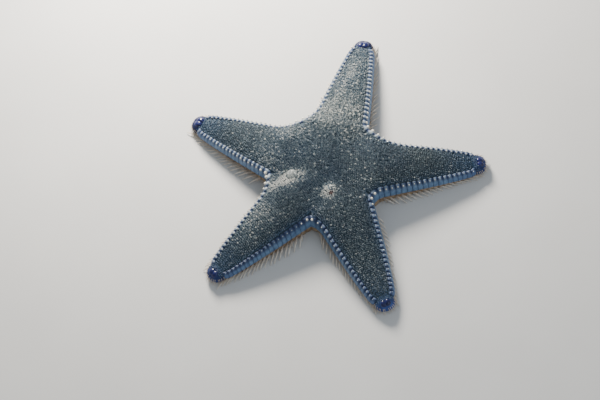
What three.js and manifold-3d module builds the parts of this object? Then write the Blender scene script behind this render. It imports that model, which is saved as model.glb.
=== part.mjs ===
// A sand star (comb star): a five-armed starfish with a granular back, a rim of upright
// marginal plates, a comb of side spines and a blue knob on each arm's end.
// Life size, in millimetres, +Z up. It lies on its mouth side, on the plane z = 0.
import * as THREE from "three";
import { mergeVertices } from "three/addons/utils/BufferGeometryUtils.js";
import Module from "manifold-3d";

// ---- driving dimensions -------------------------------------------------------------------
// Each arm: its compass heading in degrees (0 is +X, 90 is +Y) and how far its end plate reaches.
const armPlan = [
  { name: "arm_right", heading: 4.9, reach: 42.7 },
  { name: "arm_far", heading: 78.0, reach: 45.3 },
  { name: "arm_left", heading: 152.2, reach: 42.8 },
  { name: "arm_near_left", heading: 223.1, reach: 42.3 },
  { name: "arm_near_right", heading: 292.9, reach: 42.8 },
];
// The inner corner after each arm, going counter-clockwise: heading and distance from the centre.
const cornerPlan = [
  { heading: 47.6, distance: 16.5 },
  { heading: 115.2, distance: 17.2 },
  { heading: 181.0, distance: 15.4 },
  { heading: 253.5, distance: 14.6 },
  { heading: 327.0, distance: 14.5 },
];
const discCentre = new THREE.Vector3(-2.16, -2.36, 0); // from the middle of the footprint

const rimRoot = 7.1; // half width between the rims where an arm leaves the disc
const rimTaper = 4.0; // how much that narrows evenly along the arm
const rimTipTaper = 0.7; // and how much more close to its end
const rimRootAt = 14; // distance from the centre where rimRoot is measured
const rimRootRise = 7.2; // height of the rim at the disc
const rimTipRise = 3.0; // and at the arm's end
const rimRisePower = 1.1; // how evenly it sinks between the two
const vaultRise = 1.5; // how far the back stands above the rim
const vaultFade = 0.7; // share of that lost by the arm's end
const vaultPower = 2.3; // roundness of the back across an arm
const valleyPower = 2.6; // how fast the creases between the arms fade towards the centre

// Side wall under the rim, as [outward from the rim, share of the rim's height].
const wallProfile = [
  [0.6, 0.42],
  [0.0, 0.0],
];
const furrowHalfWidth = 1.7; // the groove under each arm that holds the tube feet
const furrowDepthShare = 0.42; // its depth, as a share of the rim's height
const furrowShoulder = 0.55; // share of its half width where its roof starts to bend down
const furrowWidest = 0.7; // share of the arm's half width that it never passes
const mouthRadius = 2.2;
const mouthDepth = 4.2;

const platesPerSide = 20; // upright plates along one side of an arm
const plateSpread = 0.93; // under 1, the plates get shorter towards the arm's end
const plateGap = 0.34; // between neighbouring plates
const plateProud = 0.42; // how far a plate stands off the side wall
const plateProudVary = 0.12;
const plateInset = 0.95; // how far it reaches in over the back
const plateInsetTip = 0.55; // share of that left where the back is flat
const plateCrestAt = 0.45; // its highest point, as a share of its inset
const plateShoulder = 0.25; // outward of the rim where it turns down the wall
const plateWaist = 0.55; // outward of the rim where it stands off the wall
const plateWaistRise = 0.5; // and how high, as a share of the rim's height
const plateFoot = [0.1, 0.4]; // outward of the rim and share of its height, in the wall
const plateRoot = 1.0; // how deep its inner edge is set into the back
const plateRootLift = 0.3; // and how much deeper where the back is high

const spineLength = 3.1;
const spineLengthVary = 0.08;
const spineEndLength = 0.8; // share of that left at both ends of a row
const spineEndRun = 0.2; // share of the row over which the first ones grow to full length
const spineThick = 0.62;
const spineWider = 1.1; // how much broader than thick it is
const spineRootShare = 0.3; // height of its root, as a share of the rim's
const spineSunk = 0.25; // how far the root is set into the wall
const spineOutset = 0.5; // how far its point is carried straight out
const spineTipRise = 0.35; // height of a spine's point over the ground
const spineLeanRoot = 32; // degrees that a spine leans towards the arm's end, at the corner
const spineLeanTip = 58; // and at the arm's end
const spineLeanVary = 6;
const firstSpine = 1; // the plates next to a corner carry none before this one

const discFeet = 2; // pairs of tube feet in each groove of the disc
const armFeet = 7; // and in each groove of an arm
const firstFoot = 6.5; // distance from the centre of the innermost pair
const footSpacing = 3.4;
const footRadius = 0.8; // at its root
const footTaper = 0.65; // share of that left at the arm's end
const footAside = 0.85; // distance of each row from the groove's middle
const footSplay = 1.15; // how much wider apart the two points are than the roots
const footStray = 0.2; // how far a point is carried along the arm, at the most twice this
const footSunk = 0.2; // how far the root reaches up into the groove's roof
const footGround = 0.3; // height of a foot's point over the ground

const capLength = 3.1; // the end plate
const capOverhang = 0.45; // how far it is wider than the arm's end on each side
const capLift = 0.3; // its underside is clear of the ground
const capSides = 8;
// Its outline, as [share of its length, share of its full section].
const capSections = [
  [0, 0.94],
  [0.35, 1],
  [0.75, 0.78],
  [1, 0.28],
];
const capKnob = 1.0; // radius of its two knobs
const capKnobVary = 0.05;
const capKnobShape = [1.15, 0.8, 0.75]; // along the arm, across it and upwards
const capKnobAt = [0.52, 0.42, 1.45]; // shares of the plate's length, half width and half height
const capSpines = 5;
const capSpineFan = 62; // degrees to either side that its spines fan out
const capSpineReach = 2.2;
const capSpineAt = [0.5, 0.45, 0.6]; // shares of the plate's length, half width and half height

const coneAt = new THREE.Vector2(1.4, -6.6); // the low cone on the back
const coneRadius = 1.9;
const coneRise = 0.9;
const coneSunk = 0.3; // how far its foot is under the crest of the back
const coneSides = 10;
const sieveAt = new THREE.Vector2(-9.0, -1.5); // the sieve plate, between two arms
const sieveRadius = 1.5;
const sieveThick = 1.0;
const sieveProud = 0.45;
const sieveSeat = 0.62; // share of the vault's height where the back stands around it
// Half its section, as [share of its radius, share of its height].
const sieveSection = [
  [0, 0],
  [0.86, 0],
  [1, 0.35],
  [0.96, 0.75],
  [0.6, 0.96],
  [0, 1],
];

const seam = 0.3; // gap left between neighbouring nodes
const finest = 0.003; // faces thinner than this are closed up after pieces are joined
const weld = 0.001; // points nearer to each other than this are one
const cutBeyondCorner = 1.3; // an arm is parted from the disc this far beyond its corners
const armRows = 7; // cross sections along an arm
const discRows = 4; // and from the centre to the corners
const topShares = [0, 0.45, 0.8, 1]; // points across half the back
const clear = 60; // a length that is longer than any arm

// ---- small helpers ------------------------------------------------------------------------
const wasm = await Module();
wasm.setup();

let seed = 20241;
function random() {
  seed = (seed * 1664525 + 1013904223) % 4294967296;
  return seed / 4294967296;
}
const vary = (value, share) => value * (1 + share * (2 * random() - 1));
const radians = THREE.MathUtils.degToRad;
const mix = THREE.MathUtils.lerp;

// A closed BufferGeometry as a manifold-3d solid.
function solidOf(geometry) {
  const bare = geometry.index ? geometry.toNonIndexed() : geometry.clone();
  const positions = new THREE.BufferGeometry().setAttribute("position", bare.getAttribute("position"));
  const merged = mergeVertices(positions, weld);
  return new wasm.Manifold(
    new wasm.Mesh({
      numProp: 3,
      vertProperties: merged.attributes.position.array,
      triVerts: new Uint32Array(merged.index.array),
      tolerance: finest,
    }),
  );
}

// How far a face's third point stands off its longest edge, which is put first in corners.
function thinness(face, points) {
  const turns = [0, 1, 2].map((k) => [face[k], face[(k + 1) % 3], face[(k + 2) % 3]]);
  const span = ([a, b]) => points[a].distanceTo(points[b]);
  const corners = turns.reduce((longest, turn) => (span(turn) > span(longest) ? turn : longest));
  const area = new THREE.Triangle(...corners.map((i) => points[i])).getArea();
  return { corners, height: (2 * area) / span(corners) };
}

// Closes up needles and turns the long edge of slivers, where that leaves faces less thin.
function mendThinFaces(points, faces) {
  const height = (face) => thinness(face, points).height;
  for (const face of faces.filter((f) => height(f) < finest)) {
    if (!faces.includes(face)) continue;
    const [a, b, c] = thinness(face, points).corners;
    const near = points[c].distanceTo(points[a]) < points[c].distanceTo(points[b]) ? a : b;
    if (points[c].distanceTo(points[near]) < finest * 4) {
      const joined = faces.map((f) => (f.includes(c) ? f.map((i) => (i === c ? near : i)) : f));
      faces = joined.filter((f) => new Set(f).size === 3);
      continue;
    }
    const beyond = faces.find((f) => f.some((i, k) => i === b && f[(k + 1) % 3] === a));
    const d = beyond.find((i) => i !== a && i !== b);
    const turned = [
      [a, d, c],
      [d, b, c],
    ];
    const better = Math.min(...turned.map(height)) > height(face);
    if (!better || faces.some((f) => f.includes(c) && f.includes(d))) continue;
    faces = faces.filter((f) => f !== face && f !== beyond).concat(turned);
  }
  return faces;
}

// A manifold-3d solid as a BufferGeometry, keeping only its largest closed body.
function geometryOf(solid) {
  const largest = solid.decompose().reduce((a, b) => (b.volume() > a.volume() ? b : a));
  const mesh = largest.getMesh();
  const points = [];
  for (let i = 0; i < mesh.numVert; i++) {
    points.push(new THREE.Vector3().fromArray(mesh.vertProperties, i * mesh.numProp));
  }
  const raw = [];
  for (let i = 0; i < mesh.numTri; i++) raw.push([...mesh.triVerts.subarray(i * 3, i * 3 + 3)]);
  const faces = mendThinFaces(points, mendThinFaces(points, raw));
  const bare = new THREE.BufferGeometry().setFromPoints(faces.flat().map((i) => points[i]));
  const geometry = mergeVertices(bare, finest / 100);
  geometry.computeVertexNormals();
  return geometry;
}

// Triangles gathered from quads and fans, as one closed surface.
class Shell {
  points = [];
  triangle(a, b, c) {
    const area = new THREE.Triangle(a, b, c).getArea();
    if (area > 1e-7) this.points.push(a, b, c);
  }
  quad(a, b, c, d) {
    this.triangle(a, b, c);
    this.triangle(a, c, d);
  }
  // A strip between two rows of points.
  strip(row, next) {
    for (let i = 0; i + 1 < row.length; i++) this.quad(row[i], row[i + 1], next[i + 1], next[i]);
  }
  geometry() {
    return new THREE.BufferGeometry().setFromPoints(this.points);
  }
}

// Rings of equal length joined into a closed tube, with a fan of triangles across both ends.
function loft(rings) {
  const shell = new Shell();
  rings.slice(1).forEach((ring, k) => shell.strip([...rings[k], rings[k][0]], [...ring, ring[0]]));
  const [first, last] = [rings[0], rings[rings.length - 1]];
  for (let i = 1; i + 1 < first.length; i++) {
    shell.triangle(first[0], first[i + 1], first[i]);
    shell.triangle(last[0], last[i], last[i + 1]);
  }
  return solidOf(shell.geometry());
}

// ---- the plan of the star -----------------------------------------------------------------
const polar = (heading, distance) =>
  new THREE.Vector3(Math.cos(radians(heading)) * distance, Math.sin(radians(heading)) * distance, 0);
const corners = cornerPlan.map((c) => polar(c.heading, c.distance));

const rimHalfWidth = (share) => rimRoot - rimTaper * share - rimTipTaper * share ** 4;
const rimRise = (share) => mix(rimRootRise, rimTipRise, share ** rimRisePower);
const vaultOf = (share) => vaultRise * (1 - vaultFade * share);

// The straight part of an arm's rim, from a distance along the arm to its end.
class ArmRim extends THREE.Curve {
  constructor(arm, side, from) {
    super();
    Object.assign(this, { arm, side, from });
  }
  getPoint(t) {
    const along = mix(this.from, this.arm.rimEnd, t);
    const share = (along - rimRootAt) / (this.arm.rimEnd - rimRootAt);
    return this.arm.place(along, this.side * rimHalfWidth(share));
  }
}

// The rim on one side of an arm, from the middle of the corner out to the end plate.
function rimPath(arm, side, corner) {
  const outward = corner.clone().normalize();
  const sideways = new THREE.Vector3(-outward.y, outward.x, 0).multiplyScalar(-side);
  const slope = -rimTaper / (arm.rimEnd - rimRootAt);
  const [cornerAlong, cornerAcross] = [corner.dot(arm.axis), side * corner.dot(arm.across)];
  const [stepAlong, stepAcross] = [sideways.dot(arm.axis), side * sideways.dot(arm.across)];
  const gap = cornerAcross - (rimRoot + slope * (cornerAlong - rimRootAt));
  const reach = gap / (slope * stepAlong - stepAcross);
  const bend = corner.clone().addScaledVector(sideways, reach);
  const straight = new ArmRim(arm, side, bend.dot(arm.axis) + reach);
  const path = new THREE.CurvePath();
  path.add(new THREE.QuadraticBezierCurve3(corner, bend, straight.getPoint(0)));
  path.add(straight);
  return path;
}

const arms = armPlan.map((plan, i) => {
  const axis = polar(plan.heading, 1);
  const across = new THREE.Vector3(-axis.y, axis.x, 0);
  const arm = { ...plan, axis, across, rimEnd: plan.reach - capLength };
  arm.place = (along, sideways, rise = 0) =>
    new THREE.Vector3().addScaledVector(axis, along).addScaledVector(across, sideways).setZ(rise);
  const [after, before] = [corners[i], corners[(i + 4) % 5]];
  arm.rims = { 1: rimPath(arm, 1, after), [-1]: rimPath(arm, -1, before) };
  arm.cut = Math.max(after.dot(axis), before.dot(axis)) + cutBeyondCorner;
  return arm;
});

// Horizontal directions along the rim and straight out of it, at a share of its path.
function rimDirections(arm, side, share) {
  const path = arm.rims[side];
  const step = 0.004;
  if (share < step) {
    const outward = path.getPoint(0).normalize();
    return { outward, along: new THREE.Vector3(outward.y, -outward.x, 0).multiplyScalar(side) };
  }
  const along = path.getPoint(Math.min(share + step, 1)).sub(path.getPoint(share - step)).normalize();
  return { along, outward: new THREE.Vector3(-along.y, along.x, 0).multiplyScalar(side) };
}

// ---- the body -----------------------------------------------------------------------------
// A row across an arm at a share of the rim's path: back from right to left, then underside.
function armRow(arm, share) {
  const ends = { 1: arm.rims[1].getPoint(share), [-1]: arm.rims[-1].getPoint(share) };
  const mid = arm.axis.clone().multiplyScalar((ends[1].dot(arm.axis) + ends[-1].dot(arm.axis)) / 2);
  return { ends, mid, rim: rimRise(share), ridge: rimRise(share) + vaultOf(share) };
}

// The same row drawn in towards the disc's centre.
function discRow(arm, part) {
  const { ends, mid } = armRow(arm, 0);
  const crest = rimRootRise + vaultRise;
  const rim = mix(crest, rimRootRise, part ** valleyPower);
  const scaled = { 1: ends[1].clone().multiplyScalar(part), [-1]: ends[-1].clone().multiplyScalar(part) };
  return { ends: scaled, mid: mid.clone().multiplyScalar(part), rim, ridge: crest };
}

function backPoint(row, side, share) {
  const rise = row.rim + (row.ridge - row.rim) * (1 - share ** vaultPower);
  return row.mid.clone().lerp(row.ends[side], share).setZ(rise);
}

// Height of the underside: flat on the ground, hollow in the furrow and at the mouth.
function underRise(point, sideways, rim) {
  const furrow = Math.max(0, 1 - (sideways / furrowHalfWidth) ** 2) * furrowDepthShare * rim;
  const mouth = Math.max(0, 1 - (point.length() / mouthRadius) ** 2) * mouthDepth;
  return Math.max(furrow, mouth);
}

function underPoint(arm, row, side, share) {
  const point = row.mid.clone().lerp(row.ends[side], share);
  return point.setZ(underRise(point, point.dot(arm.across), row.rim));
}

// Shares across half the underside that put points on the furrow's edge.
function underShares(arm, row, side) {
  const half = Math.abs(row.ends[side].dot(arm.across));
  const edge = Math.min(furrowHalfWidth / half, furrowWidest);
  return [0, edge * furrowShoulder, edge, 1];
}

function bodyGeometry() {
  const shell = new Shell();
  for (const arm of arms) {
    const tops = [];
    const unders = [];
    for (let k = 1; k <= discRows + armRows; k++) {
      const row = k < discRows ? discRow(arm, k / discRows) : armRow(arm, (k - discRows) / armRows);
      const back = (side) => topShares.map((share) => backPoint(row, side, share));
      const under = (side) => underShares(arm, row, side).map((share) => underPoint(arm, row, side, share));
      tops.push([...back(-1).reverse(), ...back(1).slice(1)]);
      unders.push([...under(-1).reverse(), ...under(1).slice(1)]);
    }
    const apex = new THREE.Vector3(0, 0, rimRootRise + vaultRise);
    const roof = new THREE.Vector3(0, 0, mouthDepth);
    for (let i = 0; i + 1 < tops[0].length; i++) shell.triangle(apex, tops[0][i], tops[0][i + 1]);
    for (let i = 0; i + 1 < unders[0].length; i++) shell.triangle(roof, unders[0][i + 1], unders[0][i]);
    tops.slice(1).forEach((row, k) => shell.strip(tops[k].toReversed(), row.toReversed()));
    unders.slice(1).forEach((row, k) => shell.strip(unders[k], row));
    // Side walls from the corner to the arm's end, then the end itself.
    const walls = { 1: [], [-1]: [] };
    for (const side of [1, -1]) {
      for (let k = 0; k <= armRows; k++) {
        const share = k / armRows;
        const top = tops[k + discRows - 1];
        const under = unders[k + discRows - 1];
        const { outward } = rimDirections(arm, side, share);
        const foot = side > 0 ? under[under.length - 1] : under[0];
        const rim = side > 0 ? top[top.length - 1] : top[0];
        const drop = wallProfile.slice(0, -1).map(([out, height]) =>
          arm.rims[side].getPoint(share).addScaledVector(outward, out).setZ(rimRise(share) * height));
        walls[side].push([rim, ...drop, foot]);
      }
      walls[side].slice(1).forEach((column, k) => {
        const [a, b] = side > 0 ? [column, walls[side][k]] : [walls[side][k], column];
        shell.strip(a, b);
      });
    }
    const lastTop = tops[tops.length - 1];
    const lastUnder = unders[unders.length - 1];
    const [right, left] = [-1, 1].map((side) => walls[side][armRows].slice(1, -1));
    const ring = [...lastTop, ...left, ...lastUnder.toReversed(), ...right.toReversed()];
    const hub = arm.place(arm.rimEnd, 0, rimTipRise / 2);
    ring.forEach((p, i) => shell.triangle(hub, ring[(i + 1) % ring.length], p));
  }
  return shell.geometry();
}

// ---- what grows on it ---------------------------------------------------------------------
// An upright marginal plate: a rounded bar that wraps over the rim, from share a to share b of its path.
function marginalPlate(arm, side, a, b) {
  const crown = vary(1, plateProudVary);
  const ring = (share, proud) => {
    const { outward } = rimDirections(arm, side, share);
    const rise = rimRise(share);
    const lift = vaultOf(share) / vaultRise;
    const inset = plateInset * mix(plateInsetTip, 1, lift);
    const section = [
      [-inset, rise + 0.1],
      [-inset * plateCrestAt, rise + proud * 1.15],
      [plateShoulder + proud * 0.6, rise + proud * 0.1],
      [plateWaist + proud, rise * plateWaistRise],
      [plateFoot[0], rise * plateFoot[1]],
      [-inset, rise - plateRoot - plateRootLift * lift],
    ];
    const points = section.map(([out, height]) =>
      arm.rims[side].getPoint(share).addScaledVector(outward, out).setZ(height));
    return side > 0 ? points.reverse() : points;
  };
  const proud = plateProud * crown;
  return loft([ring(a, proud), ring(b, proud)]);
}

// A tapered four-sided spike from root to tip.
function spike(root, tip, wide, thick) {
  const along = tip.clone().sub(root).normalize();
  const flat = new THREE.Vector3().crossVectors(along, new THREE.Vector3(0, 0, 1)).normalize();
  const up = new THREE.Vector3().crossVectors(flat, along);
  const ring = (centre, size) => [
    [1, 0],
    [0, 1],
    [-1, 0],
    [0, -1],
  ].map(([x, y]) =>
    centre.clone().addScaledVector(flat, (x * wide * size) / 2).addScaledVector(up, (y * thick * size) / 2));
  const shell = new Shell();
  const base = ring(root, 1);
  base.forEach((p, i) => shell.triangle(base[(i + 1) % 4], p, tip));
  shell.quad(...base);
  return solidOf(shell.geometry());
}

// One spine of the side comb, leaning towards the arm's end, its point just over the ground.
function sideSpine(arm, side, share) {
  const { along, outward } = rimDirections(arm, side, share);
  const lean = radians(mix(spineLeanRoot, spineLeanTip, share) + spineLeanVary * (random() - 0.5));
  const grown = mix(spineEndLength, 1, Math.min(1, share / spineEndRun)) * mix(1, spineEndLength, share);
  const length = vary(spineLength, spineLengthVary) * grown;
  const direction = outward.clone().multiplyScalar(Math.cos(lean)).addScaledVector(along, Math.sin(lean));
  const foot = arm.rims[side].getPoint(share);
  const root = foot.clone().addScaledVector(direction, -spineSunk).setZ(rimRise(share) * spineRootShare);
  const tip = foot.clone().addScaledVector(outward, spineOutset).addScaledVector(direction, length);
  return spike(root, tip.setZ(spineTipRise), spineThick * spineWider, spineThick);
}

// A pointed tube foot hanging from the roof of the furrow.
function tubeFoot(arm, side, along) {
  const share = Math.max(0, (along - rimRootAt) / (arm.rimEnd - rimRootAt));
  const thick = 2 * footRadius * mix(1, footTaper, share);
  const root = arm.place(along, side * footAside, furrowDepthShare * rimRise(share) + footSunk);
  const tip = arm.place(along + vary(footStray, 1), side * footAside * footSplay, footGround);
  return spike(root, tip, thick, thick);
}

// ---- the end plate of an arm: a blunt cap with two knobs ----------------------------------
function endPlate(arm) {
  const start = arm.rimEnd + seam / 2;
  const length = arm.reach - start;
  const half = rimHalfWidth(1) + capOverhang;
  const halfRise = (rimTipRise + vaultOf(1) - capLift) / 2;
  const rings = capSections.map(([share, size]) => {
    const points = [];
    for (let i = 0; i < capSides; i++) {
      const angle = ((i + 0.5) / capSides) * Math.PI * 2;
      const sideways = Math.cos(angle) * half * size;
      const rise = capLift + halfRise * (1 + Math.sin(angle) * size);
      points.push(arm.place(start + length * share, sideways, rise));
    }
    return points;
  });
  const pieces = [loft(rings)];
  for (const side of [1, -1]) {
    const [ahead, aside, rise] = capKnobAt;
    const knob = new THREE.SphereGeometry(vary(capKnob, capKnobVary), 8, 5).rotateX(Math.PI / 2);
    knob.scale(...capKnobShape).rotateZ(radians(arm.heading));
    const place = arm.place(start + length * ahead, side * half * aside, capLift + halfRise * rise);
    pieces.push(solidOf(knob.translate(...place)));
  }
  for (let i = 0; i < capSpines; i++) {
    const fan = mix(-1, 1, i / (capSpines - 1));
    const direction = polar(arm.heading + fan * capSpineFan, 1);
    const [ahead, aside, rise] = capSpineAt;
    const root = arm.place(start + length * ahead, fan * half * aside, capLift + halfRise * rise);
    const tip = root.clone().addScaledVector(direction, capSpineReach).setZ(spineTipRise);
    pieces.push(spike(root, tip, spineThick, spineThick));
  }
  return wasm.Manifold.union(pieces);
}

// ---- put together -------------------------------------------------------------------------
// A box over one arm, from a distance along it outwards.
function armBlock(arm, from) {
  const block = new THREE.BoxGeometry(clear, clear / 2, clear).translate(clear / 2 + from, 0, 0);
  return solidOf(block.rotateZ(radians(arm.heading)));
}

function wholeBody() {
  const pieces = [solidOf(bodyGeometry())];
  for (const arm of arms) {
    for (const side of [1, -1]) {
      const length = arm.rims[side].getLength();
      for (let i = 0; i < platesPerSide; i++) {
        const [from, to] = [i, i + 1].map((n) => (n / platesPerSide) ** plateSpread);
        const gap = plateGap / 2 / length;
        pieces.push(marginalPlate(arm, side, from + gap, Math.min(to - gap, 1 - gap * 0.5)));
        if (i >= firstSpine) pieces.push(sideSpine(arm, side, (from + to) / 2));
      }
      for (let i = 0; i < discFeet; i++) {
        pieces.push(tubeFoot(arm, side, mix(firstFoot, arm.cut - footSpacing / 2, i / (discFeet - 1))));
      }
      for (let i = 0; i < armFeet; i++) {
        const [nearest, furthest] = [arm.cut + footSpacing / 2, arm.rimEnd - footSpacing / 2];
        pieces.push(tubeFoot(arm, side, mix(nearest, furthest, i / (armFeet - 1))));
      }
    }
  }
  const cone = new THREE.ConeGeometry(coneRadius, coneRise * 2, coneSides).rotateX(Math.PI / 2);
  pieces.push(solidOf(cone.translate(coneAt.x, coneAt.y, rimRootRise + vaultRise - coneSunk)));
  return wasm.Manifold.union(pieces);
}

// The sieve plate: a low round button in a shallow socket of the disc.
const sieveFloor = rimRootRise + vaultRise * sieveSeat - sieveThick;
function sieveSocket() {
  const [radius, depth] = [sieveRadius + seam, 2 * rimRootRise];
  const well = new THREE.CylinderGeometry(radius, radius, depth, 18).rotateX(Math.PI / 2);
  return solidOf(well.translate(sieveAt.x, sieveAt.y, sieveFloor + depth / 2));
}
function sievePlate() {
  const height = sieveThick + sieveProud;
  const profile = sieveSection.map(([r, h]) => new THREE.Vector2(r * sieveRadius, h * height));
  const button = new THREE.LatheGeometry(profile, 16).rotateX(Math.PI / 2);
  return solidOf(button.translate(sieveAt.x, sieveAt.y, sieveFloor + seam));
}

const colours = {
  back: new THREE.MeshStandardMaterial({ color: 0x5d676b, roughness: 0.45, metalness: 0 }),
  tip: new THREE.MeshStandardMaterial({ color: 0x26347a, roughness: 0.3, metalness: 0 }),
  sieve: new THREE.MeshStandardMaterial({ color: 0x9aa19c, roughness: 0.6, metalness: 0 }),
};

const star = new THREE.Group();
star.position.copy(discCentre);
function addNode(name, solid, material) {
  const mesh = new THREE.Mesh(geometryOf(solid), material);
  mesh.name = name;
  star.add(mesh);
}

const body = wholeBody();
const blocks = wasm.Manifold.union(arms.map((arm) => armBlock(arm, arm.cut - seam / 2)));
addNode("disc", body.subtract(blocks).subtract(sieveSocket()), colours.back);
addNode("sieve_plate", sievePlate(), colours.sieve);
for (const arm of arms) {
  const outer = body.intersect(armBlock(arm, arm.cut + seam / 2));
  addNode(arm.name, outer.subtract(armBlock(arm, arm.rimEnd - seam / 2)), colours.back);
  addNode(arm.name.replace("arm", "tip"), endPlate(arm), colours.tip);
}

const part = new THREE.Group();
part.add(star);
export default part;
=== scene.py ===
import math

import bmesh
import bpy
import numpy as np
from mathutils import Matrix, Vector


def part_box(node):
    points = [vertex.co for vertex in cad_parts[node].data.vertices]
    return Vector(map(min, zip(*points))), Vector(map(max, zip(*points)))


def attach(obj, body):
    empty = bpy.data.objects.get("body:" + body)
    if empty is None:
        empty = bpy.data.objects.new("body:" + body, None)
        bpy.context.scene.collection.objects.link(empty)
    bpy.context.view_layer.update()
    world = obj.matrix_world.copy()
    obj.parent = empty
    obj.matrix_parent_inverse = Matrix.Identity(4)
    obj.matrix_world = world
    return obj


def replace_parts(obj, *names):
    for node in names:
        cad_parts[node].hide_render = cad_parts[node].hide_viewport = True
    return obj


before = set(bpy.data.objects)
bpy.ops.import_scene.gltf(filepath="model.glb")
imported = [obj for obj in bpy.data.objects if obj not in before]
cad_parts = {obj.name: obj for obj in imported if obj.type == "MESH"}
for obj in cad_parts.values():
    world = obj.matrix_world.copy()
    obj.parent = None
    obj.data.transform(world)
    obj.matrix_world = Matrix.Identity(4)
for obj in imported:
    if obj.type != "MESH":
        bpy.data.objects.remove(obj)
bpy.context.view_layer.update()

mm = 0.001
rng = np.random.default_rng(11)

# The star's plan, in millimetres and degrees, measured from the middle of its disc
star = {
    "centre": (-2.16, -2.36),
    "arms": {"right": (4.9, 42.7), "far": (78.0, 45.3), "left": (152.2, 42.8),
             "near_left": (223.1, 42.3), "near_right": (292.9, 42.8)},
    "corners": [(47.6, 16.5), (115.2, 17.2), (181.0, 15.4), (253.5, 14.6), (327.0, 14.5)],
    "rimRoot": 7.1, "rimTaper": 4.0, "rimTipTaper": 0.7, "tipTaperPower": 4, "rimRootAt": 14.0,
    "rimRootRise": 7.2, "rimTipRise": 3.0, "risePower": 1.1, "vaultRise": 1.5, "vaultFade": 0.7,
    "vaultPower": 2.3, "valleyPower": 2.6, "valleyEase": 2.5, "slopeEase": 0.12,
    "furrowHalf": 1.7, "furrowDepth": 0.42, "mouthRadius": 2.2, "mouthDepth": 4.2,
    "endPlate": 3.1, "coneAt": (1.4, -6.6), "coneSpread": 1.15, "coneRise": 0.75,
}
upward = np.array([0.0, 0.0, 1.0])
crest = star["rimRootRise"] + star["vaultRise"]


def raised(place, rise=0.0):
    return np.array([*place, rise])


starMiddle = raised(star["centre"])


def heading(degrees):
    return np.array([math.cos(math.radians(degrees)), math.sin(math.radians(degrees))])


def mix(a, b, share):
    return a + (b - a) * share


def limited(value):
    return min(1, max(0, value))


def unit(vectors):
    return vectors / (np.linalg.norm(vectors, axis=-1)[..., None] + 1e-12)


# A value that a table gives for the right and the left side of each arm
def bySide(table, arm, side):
    return table[arm["name"]][max(side, 0)]


def rimHalf(share):
    return star["rimRoot"] - star["rimTaper"] * share - star["rimTipTaper"] * share ** star["tipTaperPower"]


def rimRise(share):
    return mix(star["rimRootRise"], star["rimTipRise"], share ** star["risePower"])


def vaultOf(share):
    return star["vaultRise"] * (1 - star["vaultFade"] * share)


# The rim of one side of an arm: a curve round the inner corner, then nearly straight to the tip
def rimPath(arm, side, corner):
    outward = corner / np.linalg.norm(corner)
    sideways = -side * np.array([-outward[1], outward[0]])
    axis, across, end = arm["axis"], arm["across"], arm["rimEnd"]
    slope = -star["rimTaper"] / (end - star["rimRootAt"])
    gap = side * corner @ across - (star["rimRoot"] + slope * (corner @ axis - star["rimRootAt"]))
    reach = gap / (slope * (sideways @ axis) - side * sideways @ across)
    bend = corner + sideways * reach
    along = np.linspace(bend @ axis + reach, end, 200)
    half = rimHalf((along - star["rimRootAt"]) / (end - star["rimRootAt"]))
    straight = along[:, None] * axis + side * half[:, None] * across
    t = np.linspace(0, 1, 60, endpoint=False)[:, None]
    curve = (1 - t) ** 2 * corner + 2 * t * (1 - t) * bend + t ** 2 * straight[0]
    points = np.concatenate([curve, straight])
    steps = unit(np.gradient(points, axis=0))
    normals = side * np.stack([-steps[:, 1], steps[:, 0]], axis=1)
    normals[0] = outward
    run = np.concatenate([[0], np.cumsum(np.linalg.norm(np.diff(points, axis=0), axis=1))])
    return {"points": points, "outward": normals, "run": run / run[-1], "length": run[-1]}


def makeArms():
    corners = [heading(angle) * distance for angle, distance in star["corners"]]
    arms = []
    for i, (name, (angle, reach)) in enumerate(star["arms"].items()):
        axis = heading(angle)
        arm = {"name": name, "number": i, "axis": axis, "across": np.array([-axis[1], axis[0]]),
               "rimEnd": reach - star["endPlate"]}
        arm["rims"] = {1: rimPath(arm, 1, corners[i]), -1: rimPath(arm, -1, corners[i - 1])}
        arms.append(arm)
    return arms


arms = makeArms()


# Points of the rim and the level direction straight out of it, at shares of its length
def rimAt(arm, side, share):
    path, share = arm["rims"][side], np.clip(share, 0, 1)
    point, out = (np.stack([np.interp(share, path["run"], path[key][:, k]) for k in (0, 1)], axis=-1)
                  for key in ("points", "outward"))
    return point, unit(out)


# Rows run across an arm. t is -1 at the disc's middle, 0 at the inner corners and 1 at the arm's end,
# and across is -1 on the right edge, 0 on the ridge and 1 on the left edge.
def rowPlace(arm, t, across):
    part = np.clip(1 + t, 0, 1)[..., None]
    left, right = (rimAt(arm, side, t)[0] * part for side in (1, -1))
    middle = ((left + right) @ arm["axis"] / 2)[..., None] * arm["axis"]
    return middle + (np.where(across[..., None] >= 0, left, right) - middle) * np.abs(across)[..., None]


def eased(share):
    return share * share * (1 + star["slopeEase"]) / (share + star["slopeEase"])


def backPoint(arm, t, across, lift=0.0):
    place = rowPlace(arm, t, across)
    x, share, part = np.abs(across), eased(np.clip(t, 0, 1)), np.clip(1 + t, 0, 1)
    rim = np.where(t >= 0, rimRise(share), mix(crest, star["rimRootRise"], part ** star["valleyPower"]))
    ridge = np.where(t >= 0, rimRise(share) + vaultOf(share), crest)
    armForm = 1 - x ** star["vaultPower"]
    valleyForm = 0.5 + 0.5 * np.cos(np.pi * x)
    form = mix(armForm, valleyForm, np.clip(-t * star["valleyEase"], 0, 1))
    away = np.linalg.norm(place - np.array(star["coneAt"]), axis=-1) / star["coneSpread"]
    rise = rim + (ridge - rim) * form + star["coneRise"] * np.exp(-away ** 2) + lift
    return np.concatenate([place, rise[..., None]], axis=-1)


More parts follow.
